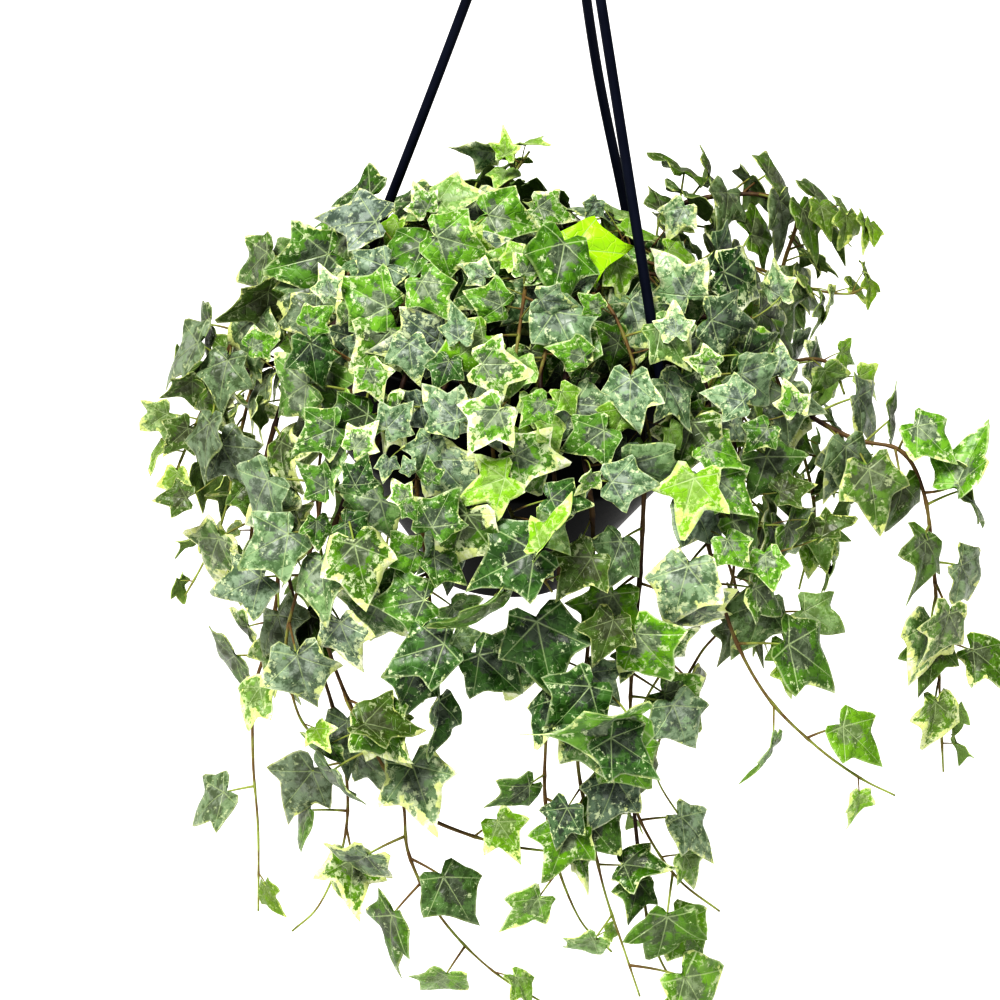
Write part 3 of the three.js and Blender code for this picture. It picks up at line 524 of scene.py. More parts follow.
def blade_pattern():
    """Faces of one blade: a fan and rings on the upper side, the same turned over below, and an edge."""
    around = 2 * (len(BLADE_OUTLINE) - 1)
    rings = len(BLADE_RINGS)
    j = np.arange(around)
    k = (j + 1) % around
    fan = np.stack([np.zeros_like(j), 1 + j, 1 + k], axis=-1)
    quads = grid_faces(rings, around)[:, ::-1] + 1
    side = 1 + rings * around
    last = 1 + (rings - 1) * around
    edge = np.stack([last + k, last + j, side + last + j, side + last + k], axis=-1)
    return [np.vstack([fan, fan[:, ::-1] + side]), np.vstack([quads, quads[:, ::-1] + side, edge])], side


def both_sides(values):
    """The numbers of a blade's upper corners, repeated for its lower ones."""
    return np.concatenate([values, values], axis=1).ravel()


def blades(leaves):
    """Blades as closed thin shells: P = J + xA + yC + (h +- t)N, where J is the stalk's end, A points to
    the tip, N is the face's normal and C is across. (x, y) runs out along rays to the outline. h is the fold
    f|y|, the droop of tip and sides, a ripple that grows to the margin, and a puff between the veins."""
    count = len(leaves)
    get = {key: np.array([leaf[key] for leaf in leaves], float) for key in leaves[0]}
    half = BLADE_OUTLINE
    degrees = np.concatenate([half[:, 0], -half[-2:0:-1, 0]])
    deep = np.concatenate([half[:, 1], half[-2:0:-1, 1]])
    shallow = np.concatenate([half[:, 2], half[-2:0:-1, 2]])
    turn = np.radians(degrees)[None]
    depth = get["depth"][:, None]
    reach = shallow + depth * (deep - shallow)
    reach = reach * (1 + 0.03 * np.sin(3 * turn + get["wave"][:, None])
                     + 0.014 * np.sin(8 * turn + 2.7 * get["wave"][:, None]))
    reach = reach * np.where(turn > 0, 1 + get["lean"][:, None], 1 - get["lean"][:, None])
    mean = reach.mean(axis=1, keepdims=True)
    ring = BLADE_RINGS[None, :, None]
    out = ring * (mean[:, :, None] + (reach[:, None, :] - mean[:, :, None]) * ring**1.3)
    x = BLADE_MIDDLE + out * np.cos(turn)[:, None]
    y = out * np.sin(turn)[:, None]
    y = y + get["bend"][:, None, None] * x * np.abs(x)
    x = np.concatenate([np.full((count, 1), BLADE_MIDDLE), x.reshape(count, -1)], axis=1)
    y = np.concatenate([np.zeros((count, 1)), y.reshape(count, -1)], axis=1)
    rim = np.concatenate([[0], np.repeat(BLADE_RINGS, len(degrees))])[None] + np.zeros((count, 1))
    swing = np.concatenate([[0], np.tile(np.radians(degrees), len(BLADE_RINGS))])[None]
    soft = np.sqrt(y**2 + 0.0009) - 0.03
    height = get["fold"][:, None] * soft - DROOP_TIP * x**2 * get["curl"][:, None] - DROOP_SIDE * y**2
    height += get["ripple"][:, None] * rim**3 * np.sin(5 * swing + get["wave"][:, None])
    height += get["twist"][:, None] * x * y
    veins = np.radians([0, 60, 124])[:, None, None]
    beside = np.abs(x * np.sin(veins) - np.abs(y) * np.cos(veins)).min(axis=0)
    height += 0.05 * (1 - np.exp(-((beside / 0.07) ** 2))) * (1 - rim**4)
    size = get["size"][:, None, None] * FULLER
    across = np.cross(get["normal"], get["along"])
    middle = (get["junction"][:, None] + get["along"][:, None] * x[..., None] * size
              + across[:, None] * y[..., None] * size + get["normal"][:, None] * height[..., None] * size)
    lift = get["normal"][:, None] * FINE_HALF
    corners = np.concatenate([middle + lift, middle - lift], axis=1)
    faces, side = blade_pattern()
    shift = (np.arange(count) * 2 * side)[:, None, None]
    faces = [(face[None] + shift).reshape(-1, face.shape[1]) for face in faces]
    one = np.ones((count, side))
    values = {
        "rim": both_sides(rim), "underside": np.concatenate([0 * one, one], axis=1).ravel(),
        **{key: both_sides(one * get[key][:, None]) for key in LEAF_VALUES},
    }
    uv = np.stack([both_sides(x), both_sides(y)], axis=-1) / UV_SPAN + 0.5
    return corners.reshape(-1, 3), faces, uv, values


def carried(paths, radii, sides=6):
    """Tubes: a ring of given radius carried along each path, turned as little as possible from station to
    station, with both ends closed. paths is (tubes, stations, 3) and radii is (tubes, stations)."""
    tubes, stations, _ = paths.shape
    ahead = np.gradient(paths, axis=1)
    ahead /= np.linalg.norm(ahead, axis=2, keepdims=True)
    normal = np.cross(ahead[:, 0], [0.31, 0.2, 0.93])
    frames = []
    for k in range(stations):
        normal = normal - ahead[:, k] * (normal * ahead[:, k]).sum(axis=1, keepdims=True)
        normal /= np.linalg.norm(normal, axis=1, keepdims=True)
        frames.append(np.stack([normal, np.cross(ahead[:, k], normal)], axis=1))
    frames = np.stack(frames, axis=1)
    turn = 2 * math.pi * np.arange(sides) / sides
    rays = (frames[:, :, 0, None] * np.cos(turn)[:, None] + frames[:, :, 1, None] * np.sin(turn)[:, None])
    rings = paths[:, :, None] + rays * radii[:, :, None, None]
    ends = paths[:, [0, -1]]
    corners = np.concatenate([rings.reshape(tubes, -1, 3), ends], axis=1)
    quads = grid_faces(stations, sides)
    j = np.arange(sides)
    k = (j + 1) % sides
    last = (stations - 1) * sides
    caps = np.vstack([np.stack([k, j, np.full(sides, last + sides)], axis=-1),
                      np.stack([last + j, last + k, np.full(sides, last + sides + 1)], axis=-1)])
    shift = (np.arange(tubes) * corners.shape[1])[:, None, None]
    faces = [(caps[None] + shift).reshape(-1, 3), (quads[None] + shift).reshape(-1, 4)]
    part = np.linspace(0, 1, stations)
    share = np.concatenate([np.repeat(part, sides), [0, 1]])[None] + np.zeros((tubes, 1))
    return corners.reshape(-1, 3), faces, share


def joined(parts):
    """Several meshes' corners and faces as one."""
    corners, triangles, quads, values = [], [], [], {}
    base = 0
    for part_corners, part_faces, part_values in parts:
        corners.append(part_corners)
        for face in part_faces:
            (triangles if face.shape[1] == 3 else quads).append(face + base)
        for key, numbers in part_values.items():
            values.setdefault(key, []).append(np.broadcast_to(numbers, len(part_corners)).astype(float))
        base += len(part_corners)
    faces = [np.vstack(group) for group in (triangles, quads) if group]
    return np.vstack(corners), faces, {key: np.concatenate(v) for key, v in values.items()}


# Stems: sides around, how far apart their rings lie, radius at the foot of a stem and of a side shoot, and
# at the tip, and the knee at each leaf as its height and its half length
STEM_SIDES = 8
STEM_STEP = 3.2
STEM_FEET = (1.25, 0.95)
STEM_TIP = 0.5
KNEE_HEIGHT, KNEE_HALF = 0.42, 2.4


def stem_tube(stem, number, branch):
    """Stem: tapers to its tip, with a small knee at each leaf and a slow wander in thickness."""
    curve = stem["curve"]
    stations = max(12, int(curve.length / STEM_STEP))
    distance = np.linspace(0, curve.length, stations)
    share = distance / curve.length
    base = STEM_FEET[branch]
    radius = base - (base - STEM_TIP) * share**1.3
    radius = radius * (1 + 0.08 * np.sin(distance / 7.0 + number))
    knees = np.array(stem["taken"] or [0.0])
    knee = np.exp(-(((distance[:, None] - knees) / KNEE_HALF) ** 2)).max(axis=1)
    radius += KNEE_HEIGHT * knee * (1 - 0.5 * share)
    path = curve.at(distance)
    corners, faces, _ = carried(path[None], radius[None], STEM_SIDES)
    old = np.clip(1.05 - np.repeat(share, STEM_SIDES) * 0.9, 0, 1)
    old = np.concatenate([old, [1, old[-1]]]) * (1.0 if branch == 0 else 0.75)
    return corners, faces, {"woody": old}


def stalk_tubes(leaves):
    """Leaf stalks: B(u) = (1-u)^2 F + 2u(1-u) M + u^2 J, from the stem at F to the blade's notch at J."""
    get = {key: np.array([leaf[key] for leaf in leaves], float) for key in leaves[0]}
    u = np.linspace(0, 1, 9)[None, :, None]
    foot, junction = get["foot"][:, None], get["junction"][:, None]
    span = np.linalg.norm(get["junction"] - get["foot"], axis=1)[:, None, None]
    into = get["along"] * 0.75 + get["stalk_way"] * 0.5 + get["normal"] * 0.35
    into /= np.linalg.norm(into, axis=1, keepdims=True)
    out_of_stem = foot + get["stalk_way"][:, None] * span * 0.55
    into_blade = junction - into[:, None] * span * 0.5
    bend = 0.72 * out_of_stem + 0.28 * into_blade
    paths = (1 - u) ** 2 * foot + 2 * u * (1 - u) * bend + u**2 * (junction - get["normal"][:, None] * 0.1)
    thick = np.clip(get["size"] / 30, 0.6, 1.1)[:, None]
    radii = np.broadcast_to(0.72 - 0.28 * u[..., 0] ** 0.6, paths.shape[:2]) * thick
    corners, faces, along = carried(paths, radii)
    woody = (0.42 - 0.36 * along + 0.25 * (get["seed"][:, None] - 0.5)).ravel()
    return corners, faces, {"woody": np.clip(woody, 0, 1)}


# Camera found from the photo, in millimetres from the rim's centre and in pixels of its 1000 px frame
CAMERA_DISTANCE = 1300.0
PHOTO_SCALE = 0.47
CAMERA_HEIGHT_ANGLE = 17.5
CAMERA_ROLL = 4.2
RIM_PIXEL = (518.0, 340.0)
PICTURE = 1000.0
SENSOR = 36.0

# Looks of a leaf: how pale its margin is, how bright, how plain, young and olive, and how deep its lobes
LOOKS = {
    # The grey share mixes in a silver tone: partly the leaf's own variegation, partly painted sheen
    "vivid": {"pale": 0.45, "bright": 0.95, "depth": 0.2},
    "green": {"pale": 0.4, "bright": 0.5, "depth": 0.3},
    "dark": {"pale": 0.25, "bright": 0.14, "depth": 0.25},
    "slate": {"pale": 0.45, "bright": 0.8, "depth": 0.3, "grey": 0.8},
    "cream": {"pale": 1.0, "bright": 0.8, "depth": 0.4},
    "white": {"pale": 1.0, "bright": 1.0, "depth": 0.4, "grey": 0.75},
    "olive": {"pale": 0.4, "bright": 0.3, "depth": 0.5, "olive": 0.75},
    "fresh": {"pale": 0.95, "bright": 0.9, "depth": 0.8, "young": 0.8},
    "plain": {"pale": 0.0, "bright": 0.9, "depth": 0.1, "plain": 1.0},
}

# The photo's most visible leaves: pixel of the blade's notch, pixel of its tip, its look, and, where a
# leaf is seen askew, by how many degrees it is turned about its middle vein
PHOTO_LEAVES = {
    "tuft tip": ((505, 155), (507, 128), "fresh", 20),
    "tuft side": ((491, 151), (452, 150), "white", 50),
    "back left flecked": ((426, 210), (411, 183), "cream", 0),
    "crown grey": ((596, 202), (584, 222), "slate", 35),
    "crown flecked": ((538, 207), (577, 221), "cream", 20),
    "crown middle": ((488, 215), (543, 226), "vivid", 10),
    "crown left": ((437, 236), (494, 253), "vivid", -10),
    "crown pale pair": ((484, 277), (461, 261), "white", 10),
    "plain yellow": ((572, 250), (632, 252), "plain", 15),
    "behind yellow": ((564, 271), (582, 246), "slate", 0),
    "crown flecked two": ((525, 273), (540, 246), "cream", -10),
    "grey under yellow": ((579, 287), (580, 258), "slate", 15),
    "lime under yellow": ((599, 307), (577, 295), "vivid", 20),
    "dark under crown": ((541, 299), (577, 306), "slate", -20),
    "vivid under crown": ((502, 305), (463, 291), "vivid", 15),
    "broad left": ((422, 281), (443, 322), "vivid", 0),
    "pointing left": ((387, 307), (333, 279), "vivid", 10),
    "corner left": ((328, 254), (261, 273), "green", 15),
    "shiny left": ((331, 294), (321, 264), "white", 25),
    "lime left": ((309, 325), (333, 305), "vivid", 0),
    "hanging left": ((310, 343), (320, 391), "dark", 20),
    "small left": ((252, 347), (279, 334), "vivid", 0),
    "shiny on rim": ((409, 343), (414, 386), "slate", -10),
    "dark on rim": ((449, 361), (437, 392), "dark", 0),
    "upright grey": ((459, 338), (454, 303), "slate", 25),
    "gold edged left": ((368, 369), (385, 402), "cream", 0),
    "grey middle": ((387, 428), (413, 401), "slate", 0),
    "grey middle two": ((430, 440), (420, 478), "slate", 15),
    "long left middle": ((457, 420), (420, 386), "slate", 20),
    "dark slate left": ((334, 428), (290, 447), "green", 10),
    "small flecked": ((355, 448), (378, 421), "cream", 10),
    "starry dark": ((355, 485), (372, 455), "dark", 0),
    "starry flecked": ((326, 488), (294, 469), "green", 10),
    "starry dark low": ((345, 524), (377, 544), "dark", 0),
    "starry low": ((316, 521), (315, 552), "green", 20),
    "green low middle": ((432, 527), (454, 484), "green", 0),
    "green low left": ((424, 600), (370, 611), "green", 0),
    "flecked low": ((434, 558), (470, 577), "green", 10),
    "green low corner": ((416, 551), (376, 564), "vivid", 15),
    "small by wall": ((432, 480), (428, 456), "green", 20),
    "small by wall two": ((411, 470), (401, 456), "slate", 15),
    "flecked by wall": ((405, 498), (391, 478), "cream", 0),
    "slate by wall": ((389, 460), (386, 482), "slate", 10),
    "flecked by wall two": ((406, 505), (419, 521), "green", 20),
    "dark behind star": ((551, 499), (593, 509), "dark", 20),
    "narrow by star": ((591, 474), (578, 497), "cream", 50),
    "edged middle": ((482, 364), (534, 365), "cream", -15),
    "flecked middle": ((583, 356), (549, 349), "vivid", 15),
    "edged star": ((499, 410), (466, 452), "cream", 0),
    "vivid middle": ((545, 402), (521, 427), "vivid", 10),
    "grey right": ((631, 379), (628, 434), "slate", -15),
    "olive right": ((604, 430), (564, 459), "green", 0),
    "white by strand": ((630, 300), (649, 362), "white", 35),
    "white back right": ((688, 296), (660, 247), "white", 20),
    "cream right": ((676, 334), (675, 300), "white", 0),
    "pale back right": ((684, 208), (668, 240), "white", 0),
    "green right": ((715, 366), (683, 363), "cream", 10),
    "slate right": ((743, 401), (704, 392), "slate", 0),
    "edge right": ((779, 372), (785, 341), "slate", 20),
    "edge right low": ((796, 410), (787, 379), "cream", 25),
    "pale arch": ((781, 296), (772, 258), "white", 30),
    "green far right": ((768, 428), (747, 455), "green", 0),
    "lime small right": ((705, 447), (748, 460), "vivid", 30),
    "lime big right": ((716, 478), (756, 512), "vivid", 0),
    "lime bright right": ((694, 478), (678, 537), "fresh", 0),
    "slate low right": ((612, 482), (659, 488), "slate", 0),
    "olive by pot": ((592, 557), (561, 601), "olive", 0),
    "star neighbour": ((516, 455), (566, 477), "cream", 0),
    "big dark": ((535, 551), (468, 584), "dark", 0),
    "cream star": ((505, 478), (454, 496), "fresh", 0),
    "folded young": ((541, 549), (571, 503), "fresh", 60),
    "dark right low": ((780, 492), (815, 480), "olive", 20),
    "folded right": ((828, 490), (867, 450), "olive", 65),
    "folded right two": ((812, 521), (794, 550), "olive", 60),
    "folded right three": ((822, 537), (859, 518), "olive", 55),
    "lime corner": ((727, 540), (748, 572), "vivid", 20),
    "lime corner two": ((765, 555), (770, 592), "vivid", 0),
    "first below pot": ((444, 644), (381, 662), "dark", 0),
    "second below pot": ((479, 655), (523, 696), "dark", 0),
    "third below pot": ((537, 622), (553, 699), "dark", 0),
    "low left pair": ((417, 668), (398, 716), "dark", 15),
    "narrow below": ((438, 701), (435, 758), "dark", 65),
    "dark fold": ((364, 724), (423, 734), "olive", 50),
    "olive below right": ((613, 620), (599, 667), "olive", 0),
    "dark low right": ((590, 686), (550, 734), "dark", 0),
    "lime long": ((628, 716), (532, 747), "vivid", 60),
    "dark low right two": ((611, 738), (659, 770), "dark", 0),
    "far star": ((917, 426), (955, 461), "vivid", 20),
    "far upright": ((958, 483), (984, 425), "vivid", 45),
    "side olive": ((188, 428), (161, 453), "olive", 0),
    "side star": ((186, 498), (154, 495), "olive", 0),
    "side folded": ((192, 381), (162, 399), "olive", 50),
    "corner folded": ((268, 292), (218, 323), "olive", 50),
}
# How far a photo leaf lies in front of what is behind it or of its stem, in millimetres, within how many
# pixels of its middle that is looked for, what share of its length is from notch to tip, the chance turn in
# degrees, and from where and how often stems offer a foot for its stalk
PHOTO_LEAF_GAP = 4.0
PHOTO_LEAF_BACK = 6.0
PHOTO_STEM_FROM, PHOTO_STEM_STEP = 24.0, 3.0
PHOTO_LEAF_NEAR = 20.0
PHOTO_LEAF_SHARE = 0.82
PHOTO_LEAF_TURN = 12
# How far down the photo shows each arm in front of the leaves, and how near a leaf may come to it there
ARM_SEEN = {"arm_left": 262.0, "arm_front_right": 370.0, "arm_back_right": 240.0}
ARM_CLEAR = 9.0


class Eye:
    """The photo's camera: pixels of points, and points on a pixel's ray at a depth."""

    def __init__(self):
        e, r = math.radians(CAMERA_HEIGHT_ANGLE), math.radians(CAMERA_ROLL)
        self.pixels = CAMERA_DISTANCE / PHOTO_SCALE
        right, up = np.array([1.0, 0, 0]), np.array([0, math.sin(e), math.cos(e)])
        self.ahead = np.array([0, math.cos(e), -math.sin(e)])
        self.x = math.cos(r) * right + math.sin(r) * up
        self.y = -math.sin(r) * right + math.cos(r) * up
        a, b = ((pixel - PICTURE / 2) / self.pixels for pixel in RIM_PIXEL)
        self.place = -CAMERA_DISTANCE * (self.ahead + a * self.x - b * self.y)

    def pixel(self, points):
        away = points - self.place
        depth = away @ self.ahead
        across = PICTURE / 2 + self.pixels * (away @ self.x) / depth
        down = PICTURE / 2 - self.pixels * (away @ self.y) / depth
        return np.stack([across, down], axis=-1), depth

    def point(self, pixel, depth):
        a, b = ((value - PICTURE / 2) / self.pixels for value in pixel)
        return self.place + depth * (self.ahead + a * self.x - b * self.y)


def photo_leaves(vines, room):
    """Sets the photo's most visible leaves just in front of what is behind, each on the nearest stem."""
    eye = Eye()
    stems, owners = [], []
    for vine in vines:
        for stem in vine["stems"]:
            points = stem["curve"].at(np.arange(PHOTO_STEM_FROM, stem["curve"].length, PHOTO_STEM_STEP))
            stems.append(points)
            owners += [(vine, stem)] * len(points)
    stems = np.vstack(stems)
    stem_pixels, stem_depths = eye.pixel(stems)
    rng = np.random.default_rng([SEED, 5])
    for notch, tip, look, turned in PHOTO_LEAVES.values():
        middle = (np.array(notch) + np.array(tip)) / 2
        pixels, depths = eye.pixel(room.samples[:room.count].reshape(-1, 3))
        near = np.linalg.norm(pixels - middle, axis=1) < PHOTO_LEAF_NEAR
        close = np.linalg.norm(stem_pixels - np.array(notch), axis=1)
        depth = stem_depths[close.argmin()] - PHOTO_LEAF_GAP
        if near.any():
            depth = min(depth + PHOTO_LEAF_BACK, depths[near].min() - PHOTO_LEAF_GAP)
        low_depth = eye.pixel(np.array([0, room.low[1] + PHOTO_LEAF_BACK, eye.point(middle, depth)[2]]))[1]
        depth = max(depth, float(low_depth))
        over = np.linalg.norm(room.seen - middle, axis=1) < 0.34 * math.dist(notch, tip) + ARM_CLEAR
        if over.any():
            depth = max(depth, room.seen_depths[over].max() + PHOTO_LEAF_BACK)
        start, end = eye.point(notch, depth), eye.point(tip, depth + rng.uniform(-3, 3))
        along, reach = unit(end - start), np.linalg.norm(end - start)
        facing = unit(eye.place - start)
        facing = unit(facing - along * facing.dot(along))
        side = np.cross(facing, along)
        turn = math.radians(turned + rng.uniform(-PHOTO_LEAF_TURN, PHOTO_LEAF_TURN))
        normal = facing * math.cos(turn) + side * math.sin(turn)
        k = np.linalg.norm(stems - (start - along * 4), axis=1).argmin()
        vine, stem = owners[k]
        leaf = {
            "foot": stems[k], "junction": start, "along": along, "normal": normal,
            "size": reach / PHOTO_LEAF_SHARE, "fold": 0.5 if abs(turned) > 40 else rng.uniform(0.05, 0.2),
            "young": 0.0, "distance": 0.0,
            "stalk_way": unit(start - stems[k] - along * 2), "ahead": along, "look": look,
        }
        room.take(leaf)
        vine["grown"].append(leaf)


# Smaller leaves that fill out the vines: how far apart they grow, and how likely they are by height
FILL_STEP = 7.0
FILL_APART = 5.0
FILL_TRIALS = 8
FILL_LEAST = [(-60.0, 1.0), (-120.0, 0.6), (-170.0, 0.3), (-1000.0, 0.08)]
FILL_SMALLER = 0.94
MOST_LEAVES = 3000

# How far blades stay from one another, from the pot's wall, and from its rim and the arms
LEAF_GAP = 0.9
WALL_CLEAR = 1.5
RIM_CLEAR = 4.0


def blade_samples(leaf):
    """Points over a blade for the clearance test: its middle, and eight on each of two rings."""
    turn = np.radians([0, 40, 69, 104, 150, -150, -104, -69, -40])
    reach = np.array([0.69, 0.40, 0.53, 0.36, 0.32, 0.32, 0.36, 0.53, 0.40])
    x = BLADE_MIDDLE + np.concatenate([[0], 0.5 * reach * np.cos(turn), reach * np.cos(turn)])
    y = np.concatenate([[0], 0.5 * reach * np.sin(turn), reach * np.sin(turn)])
    height = leaf["fold"] * np.abs(y) - DROOP_TIP * x**2 - DROOP_SIDE * y**2
    across = np.cross(leaf["normal"], leaf["along"])
    away = x[:, None] * leaf["along"] + y[:, None] * across + height[:, None] * leaf["normal"]
    return leaf["junction"] + away * leaf["size"]


class Room:
    """The space already taken: every blade's frame and sample points, the pot and the arms."""

    def __init__(self, arms):
        self.count = 0
        self.frames = np.zeros((MOST_LEAVES, 3, 3))
        self.starts = np.zeros((MOST_LEAVES, 3))
        self.shapes = np.ones((MOST_LEAVES, 2))
        self.samples = np.full((MOST_LEAVES, 19, 3), 1e4)
        self.arms = np.vstack(list(arms.values()))
        self.eye = Eye()
        shown = [self.eye.pixel(points) for points in arms.values()]
        parts = [pixels[:, 1] < ARM_SEEN[name] for name, (pixels, depths) in zip(arms, shown)]
        self.seen = np.vstack([pixels[part] for part, (pixels, depths) in zip(parts, shown)])
        self.seen_depths = np.hstack([depths[part] for part, (pixels, depths) in zip(parts, shown)])
        self.low = np.array(CAD_BOX[0]) / MM + UP * HANG_DROP + 0.6
        self.high = np.array(CAD_BOX[1]) / MM + UP * HANG_DROP - 0.6

    def frame(self, leaf):
        return np.stack([leaf["along"], np.cross(leaf["normal"], leaf["along"]), leaf["normal"]])

    def take(self, leaf):
        k = self.count
        self.frames[k], self.starts[k] = self.frame(leaf), leaf["junction"]
        self.shapes[k], self.samples[k] = (leaf["size"], leaf["fold"]), blade_samples(leaf)
        self.count += 1

    def crossed(self, points, start, axes, size, fold):
        """True where points come within the gap of a blade's surface, or lie on both sides of it."""
        local = np.einsum("...pk,...jk->...pj", points - start, axes) / size
        x, y = local[..., 0], local[..., 1]
        off = (local[..., 2] - fold * np.abs(y) + DROOP_TIP * x**2 + DROOP_SIDE * y**2) * size[..., 0]
        within = (x - BLADE_MIDDLE) ** 2 + y**2 < 0.6**2
        close = (within & (np.abs(off) < LEAF_GAP)).any(axis=-1)
        return close | ((within & (off > 0)).any(axis=-1) & (within & (off < 0)).any(axis=-1))

    def hides_arm(self, points):
        """True where a blade lies in front of the part of an arm that the photo shows."""
        pixels, depths = self.eye.pixel(points)
        near = np.linalg.norm(pixels[:, None] - self.seen, axis=2) < ARM_CLEAR
        return (near & (depths[:, None] < self.seen_depths)).any()

    def is_free(self, leaf):
        points = blade_samples(leaf)
        if self.hides_arm(points):
            return False
        if (points < self.low).any() or (points > self.high).any():
            return False
        radius, z = np.hypot(points[:, 0], points[:, 1]), points[:, 2]
        wall = np.interp(z, [-POT_DEPTH, SHOULDER_Z - 15, SHOULDER_Z, 0],
                         [BASE_RADIUS, SHOULDER_RADIUS - 7, SHOULDER_RADIUS, RIM_RADIUS])
        if ((z > -POT_DEPTH - 1) & (z < SOIL_TOP + 2) & (radius < wall + WALL_CLEAR)).any():
            return False
        if ((z > SOIL_TOP) & (z < 2) & (np.abs(radius - RIM_RADIUS + 1) < RIM_CLEAR)).any():
            return False
        if (np.linalg.norm(points[:, None] - self.arms, axis=2) < RIM_CLEAR).any():
            return False
        k = self.count
        size, fold = self.shapes[:k, 0, None, None], self.shapes[:k, 1, None]
        if self.crossed(points[None], self.starts[:k, None], self.frames[:k], size, fold).any():
            return False
        near = np.linalg.norm(self.starts[:k] - leaf["junction"], axis=1) < 60
        other = self.samples[:k][near]
        own = np.full((1, 1), leaf["size"])
        return not self.crossed(other, leaf["junction"], self.frame(leaf), own, leaf["fold"]).any()


def fill_vine(vine, room):
    """Adds smaller leaves between the ones that the CAD part has, wherever there is room for a blade."""
    number = vine["number"]
    for branch, stem in enumerate(vine["stems"]):
        curve, taken = stem["curve"], list(stem["taken"])
        rng = np.random.default_rng([SEED, number, branch])
        for k, distance in enumerate(np.arange(26.0, curve.length - 2, FILL_STEP)):
            height = curve.at(distance)[2]
            chance = next(share for floor, share in FILL_LEAST if height > floor)
            nearest_leaf = min([99.0] + [abs(distance - other) for other in taken])
            if nearest_leaf < FILL_APART or rng.random() > chance:
                continue
            side = 1 if k % 2 else -1
            for trial in range(FILL_TRIALS):
                leaf = leaf_place(curve, side * distance, None, number, 200 + 100 * branch + k, trial)
                leaf["size"] *= FILL_SMALLER
                if room.is_free(leaf):
                    room.take(leaf)
                    vine["grown"].append(leaf)
                    stem["taken"].append(distance)
                    break
                side = -side


def leaf_looks(vine):
    """What sets one leaf's form and colours apart from the next: all drawn from the vine's own numbers."""
    rng = np.random.default_rng([SEED, vine["number"], 99])
    for leaf in vine["grown"]:
        young = leaf["young"] * (0.2 if leaf["size"] > 33 else 1.0)
        kind = rng.random()
        spotted = 0.15 if kind < 0.35 else 0.5 if kind < 0.75 else 0.9
        leaf.update({
            "young": young, "seed": rng.random(), "depth": rng.uniform(0.0, 0.65), "plain": 0.0,
            "lean": rng.uniform(-0.08, 0.08), "bend": rng.uniform(-0.28, 0.28),
            "twist": rng.uniform(-0.4, 0.4), "wave": rng.uniform(0, 2 * math.pi),
            "curl": rng.uniform(0.7, 2.0), "ripple": rng.uniform(0.015, 0.06),
            "pale": float(np.clip(spotted + rng.uniform(-0.15, 0.15) + 0.3 * young, 0, 1)),
            # Olive share: partly the leaf's own colour, partly painted shade and backlight toward the back
            "olive": float(np.clip(vine["olive"] + rng.uniform(-0.1, 0.15), 0, 1)),
            "bright": float(np.clip(rng.normal(0.5, 0.28) + 0.25 * young, 0, 1)),
            # Grey share: a silver tone, partly the leaf's own, partly painted sheen
            "grey": float(rng.random() ** 2),
        })
        if "look" in leaf:
            leaf.update({"olive": 0.0, "curl": 0.7, "twist": 0.3 * leaf["twist"], "grey": 0.1})
            leaf.update(LOOKS[leaf.pop("look")])


def vine_pieces(vine, leaf_material, stem_material):
    """One piece for a vine's blades, and one for its stems and leaf stalks."""
    leaf_looks(vine)
    leaves = vine["grown"]
    corners, faces, uv, values = blades(leaves)
    blade_piece = mesh_object("leaves_" + vine["name"], to_hook(corners), faces)
    set_uv(blade_piece, "blade", uv)
    set_values(blade_piece, values)
    blade_piece.data.set_sharp_from_angle(angle=math.radians(60))
    finish_piece(blade_piece, leaf_material, "foliage", "vine_" + vine["name"])
    tubes = [stalk_tubes(leaves)]
    tubes += [stem_tube(stem, vine["number"], branch) for branch, stem in enumerate(vine["stems"])]
    corners, faces, values = joined(tubes)
    stem_piece = mesh_object("stems_" + vine["name"], to_hook(corners), faces)
    set_values(stem_piece, values)
    finish_piece(stem_piece, stem_material, "foliage", "vine_" + vine["name"])


def to_hook(corners):
    """From millimetres about the rim's centre to metres in the hook's frame."""
    return (corners - UP * HANG_DROP) * MM


def lathe(profile, sides):
    """A closed turned shell: r and z of the profile, from the axis back to the axis."""
    profile = np.array(profile, float)
    turn = 2 * math.pi * np.arange(sides) / sides
    middle = profile[1:-1]
    rings = np.stack([middle[:, :1] * np.cos(turn), middle[:, :1] * np.sin(turn),
                      np.repeat(middle[:, 1:], sides, axis=1)], axis=-1).reshape(-1, 3)
    corners = np.vstack([rings, [0, 0, profile[0, 1]], [0, 0, profile[-1, 1]]])
    quads = grid_faces(len(middle), sides)
    j = np.arange(sides)
    k = (j + 1) % sides
    first, last = len(rings), (len(middle) - 1) * sides
    fans = np.vstack([np.stack([k, j, np.full(sides, first)], axis=-1),
                      np.stack([last + j, last + k, np.full(sides, first + 1)], axis=-1)])
    return corners, [fans, quads]


def rounded(points, radius, steps=4):
    """A profile with its corners cut by short quadratic arcs that start at most a radius away."""
    points = np.array(points, float)
    path = [points[0]]
    for before, corner, after in zip(points[:-2], points[1:-1], points[2:]):
        into, out = before - corner, after - corner
        reach = min(radius, 0.45 * np.linalg.norm(into), 0.45 * np.linalg.norm(out))
        start = corner + into / np.linalg.norm(into) * reach
        end = corner + out / np.linalg.norm(out) * reach
        for u in np.linspace(0, 1, steps):
            path.append((1 - u) ** 2 * start + 2 * u * (1 - u) * corner + u**2 * end)
    return path + [points[-1]]


def bent(value, power=0.28):
    """v|v|^(p-1), which squares off a circle's cosines and sines."""
    return np.sign(value) * np.abs(value) ** power


